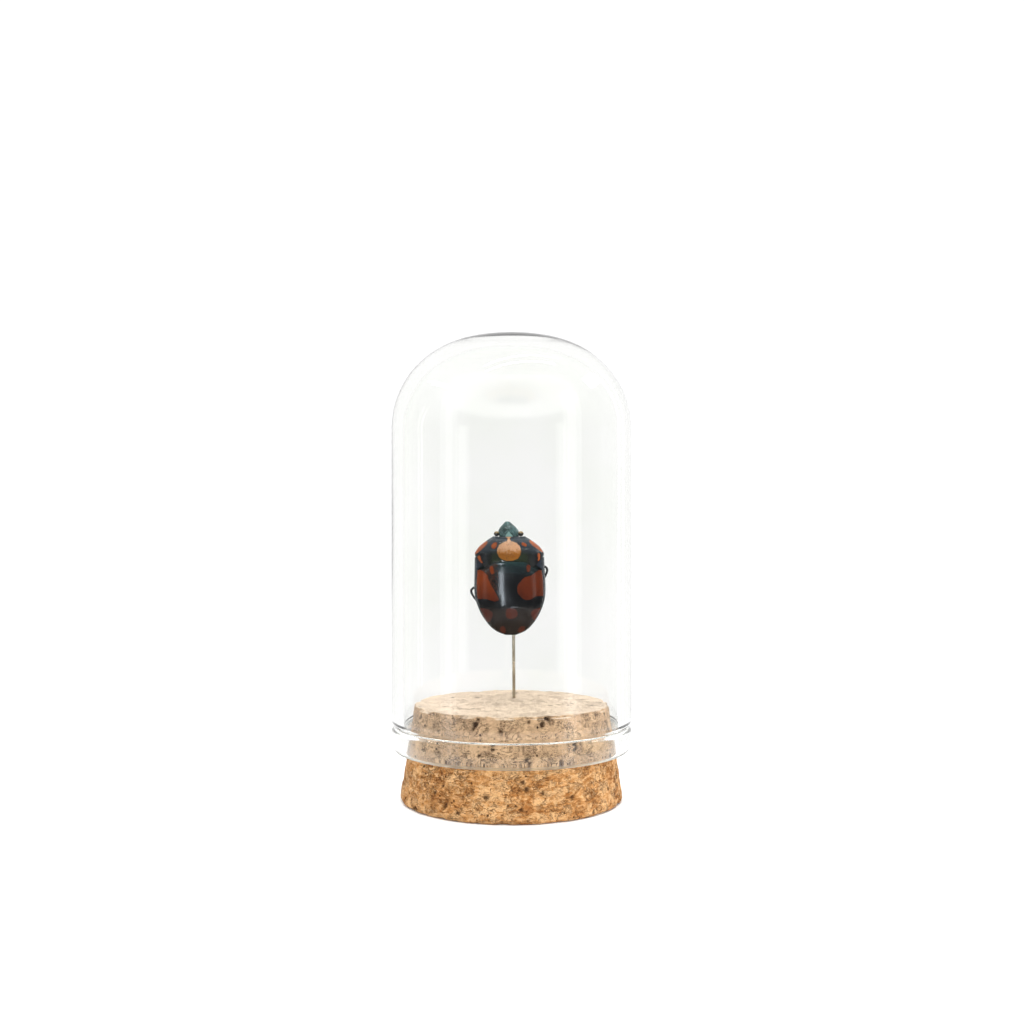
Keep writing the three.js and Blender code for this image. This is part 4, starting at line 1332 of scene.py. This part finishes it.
def makeLimbMaterial():
    material, graph, bsdf, out, place = startMaterial("limbShell")
    tone = graph.group("mottle", Vector=place, Scale=1500.0, Contrast=0.8)["Tone"]
    dressShell(graph, bsdf, place, graph.mix(tone, limbs["dark"], limbs["blue"]), 9000.0, 0.26, 0.004, 0.12)
    bsdf["Specular IOR Level"].default_value = 0.4
    return material


def centripetal(knots, count):
    # points at even steps on a centripetal curve through the knots
    points = np.array(knots, float)
    points = np.concatenate([[2 * points[0] - points[1]], points, [2 * points[-1] - points[-2]]])
    line = []
    for p0, p1, p2, p3 in zip(points, points[1:], points[2:], points[3:]):
        t1 = np.linalg.norm(p1 - p0) ** 0.5
        t2 = t1 + np.linalg.norm(p2 - p1) ** 0.5
        t3 = t2 + np.linalg.norm(p3 - p2) ** 0.5
        for t in np.linspace(t1, t2, 24, endpoint=False):
            a1 = lerp(p0, p1, t / t1)
            a2 = lerp(p1, p2, (t - t1) / (t2 - t1))
            a3 = lerp(p2, p3, (t - t2) / (t3 - t2))
            b1 = lerp(a1, a2, t / t2)
            b2 = lerp(a2, a3, (t - t1) / (t3 - t1))
            line.append(lerp(b1, b2, (t - t1) / (t2 - t1)))
    line.append(points[-2])
    line = np.array(line)
    far = np.concatenate([[0], np.cumsum(np.linalg.norm(np.diff(line, axis=0), axis=1))])
    even = np.linspace(0, far[-1], count)
    return np.stack([np.interp(even, far, line[:, k]) for k in range(3)], -1), far[-1]


def overBelly(line):
    u, s, clear = line[:, 0], line[:, 1], line[:, 2]
    depth = np.where(s < 2.1, headUnder(s), belly(u, s, 0.4))
    return toRow(u, s, -(depth + clear))


def spread(values, count):
    return np.interp(np.linspace(0, 1, count), np.linspace(0, 1, len(values)), values)


def makeBeak(material):
    knots = [(-0.22, 0.75, 0.2), (-0.1, 2.0, 0.22), (0, 3.4, 0.2), (0, 5.4, 0.2), (0, 7.2, 0.2)]
    line, _ = centripetal(knots, 70)
    radii = spread([0.16, 0.15, 0.13, 0.12, 0.1, 0.07], 70)
    for joint in (0.22, 0.48, 0.74):
        radii *= 1 - 0.22 * np.exp(-(((np.linspace(0, 1, 70) - joint) / 0.015) ** 2))
    verts, faces = sweep(overBelly(line), radii, 14, 0.8)
    makePiece("foldedBeak", verts, faces, material, "bug_limbs", ["beak"])


def makeAntenna(side, material, name, node):
    knots = [(side * 1.0 - 0.12, 1.3, -0.15), (side * 1.45, 2.3, 0.15), (side * 2.1, 3.2, 0.12),
             (side * 2.75, 4.4, 0.12), (side * 2.9, 5.6, 0.12), (side * 2.7, 6.5, 0.12)]
    line, _ = centripetal(knots, 90)
    radii = spread([0.09, 0.08, 0.07, 0.08, 0.08, 0.06], 90)
    for joint in (0.12, 0.26, 0.48, 0.74):  # five segments
        radii *= 1 - 0.35 * np.exp(-(((np.linspace(0, 1, 90) - joint) / 0.012) ** 2))
    verts, faces = sweep(overBelly(line), radii, 12)
    makePiece(name, verts, faces, material, "bug_limbs", [node])


legs = {
    "left_foreleg": [(-0.85, 4.7, 0.2), (-1.9, 4.75, 0.45), (-3.3, 4.55, 0.55), (-4.05, 4.15, 0.5),
                     (-3.7, 3.55, 0.46), (-2.6, 3.1, 0.5), (-1.75, 2.85, 0.42)],
    "right_foreleg": [(0.85, 4.6, 0.2), (1.9, 4.6, 0.45), (3.2, 4.4, 0.55), (4.0, 4.05, 0.5),
                      (3.75, 3.45, 0.46), (2.7, 2.95, 0.5), (1.9, 2.6, 0.42)],
    "left_midleg": [(-1.0, 7.3, 0.2), (-2.1, 7.05, 0.38), (-3.8, 6.7, 0.34), (-4.7, 6.85, 0.3),
                    (-4.4, 7.5, 0.3), (-3.3, 8.0, 0.3), (-2.3, 8.25, 0.26)],
    "right_midleg": [(1.0, 7.3, 0.2), (2.4, 7.15, 0.36), (4.4, 6.95, 0.32), (5.42, 6.9, 0.28), (5.74, 7.3, 0.26),
                     (5.66, 7.9, 0.28), (5.3, 8.8, 0.3), (4.9, 10.4, 0.3), (4.55, 11.9, 0.24)],
    "left_hindleg": [(-1.0, 9.6, 0.22), (-2.4, 9.8, 0.36), (-4.3, 10.0, 0.32), (-5.45, 10.15, 0.28),
                     (-5.9, 10.6, 0.26), (-5.78, 11.2, 0.28), (-5.3, 12.0, 0.3), (-4.3, 13.3, 0.3), (-3.4, 14.4, 0.24)],
    "right_hindleg": [(1.0, 9.6, 0.22), (2.2, 9.75, 0.38), (3.5, 10.1, 0.34), (4.05, 10.6, 0.3),
                      (3.85, 11.4, 0.3), (3.3, 12.8, 0.3), (2.6, 14.3, 0.24)],
}
legRadii = [0.24, 0.24, 0.28, 0.29, 0.26, 0.19, 0.2, 0.19, 0.17, 0.15, 0.12, 0.11, 0.08]


def makeLeg(node, knots, material, dice):
    count = 150
    line, length = centripetal(knots, count)
    along = np.linspace(0, 1, count)
    radii = spread(legRadii, count)
    for joint, depth in ((0.08, 0.2), (0.14, 0.25), (0.4, 0.3), (0.8, 0.4), (0.87, 0.35), (0.93, 0.35)):
        radii *= 1 - depth * np.exp(-(((along - joint) / 0.012) ** 2))
    points = overBelly(line)
    parts = [sweep(points, radii, limbs["legSides"], 0.85)]
    tangents = np.gradient(points, axis=0)
    for _ in range(limbs["hairs"]):  # stiff short hairs on shin and foot
        k = dice.randint(int(count * 0.45), count - 8)
        forward = tangents[k] / np.linalg.norm(tangents[k])
        around = np.array([dice.gauss(0, 1) for _ in range(3)])
        outward = around - forward * np.dot(around, forward)
        outward /= np.linalg.norm(outward)
        root = points[k] + outward * radii[k] * 0.8
        tip = root + (outward * 0.6 + forward * 0.8) * dice.uniform(0.1, 0.19)
        parts.append(sweep([root, lerp(root, tip, 0.6), tip], [0.012, 0.009, 0.003], 4))
    end, forward = points[-1], tangents[-1] / np.linalg.norm(tangents[-1])
    sideways = np.cross(forward, (0, 1, 0))
    sideways /= np.linalg.norm(sideways)
    for side in (-1, 1):  # the two claws
        claw = [end, end + forward * 0.1 + sideways * side * 0.08, end + forward * 0.2 + sideways * side * 0.1]
        parts.append(sweep(claw, [0.045, 0.032, 0.008], 8))
    verts, faces = joined(parts)
    words = node.split("_")
    makePiece(words[1] + words[0].capitalize(), verts, faces, material, "bug_limbs", [node])


makeHead()
makeEyes()
limbMaterial = makeLimbMaterial()
makeBeak(limbMaterial)
makeAntenna(-1, limbMaterial, "antennaLeft", "left_antenna")
makeAntenna(1, limbMaterial, "antennaRight", "right_antenna")
dice = random.Random(limbs["seed"])
for node, knots in legs.items():
    makeLeg(node, knots, limbMaterial, dice)
print("head and limbs built")
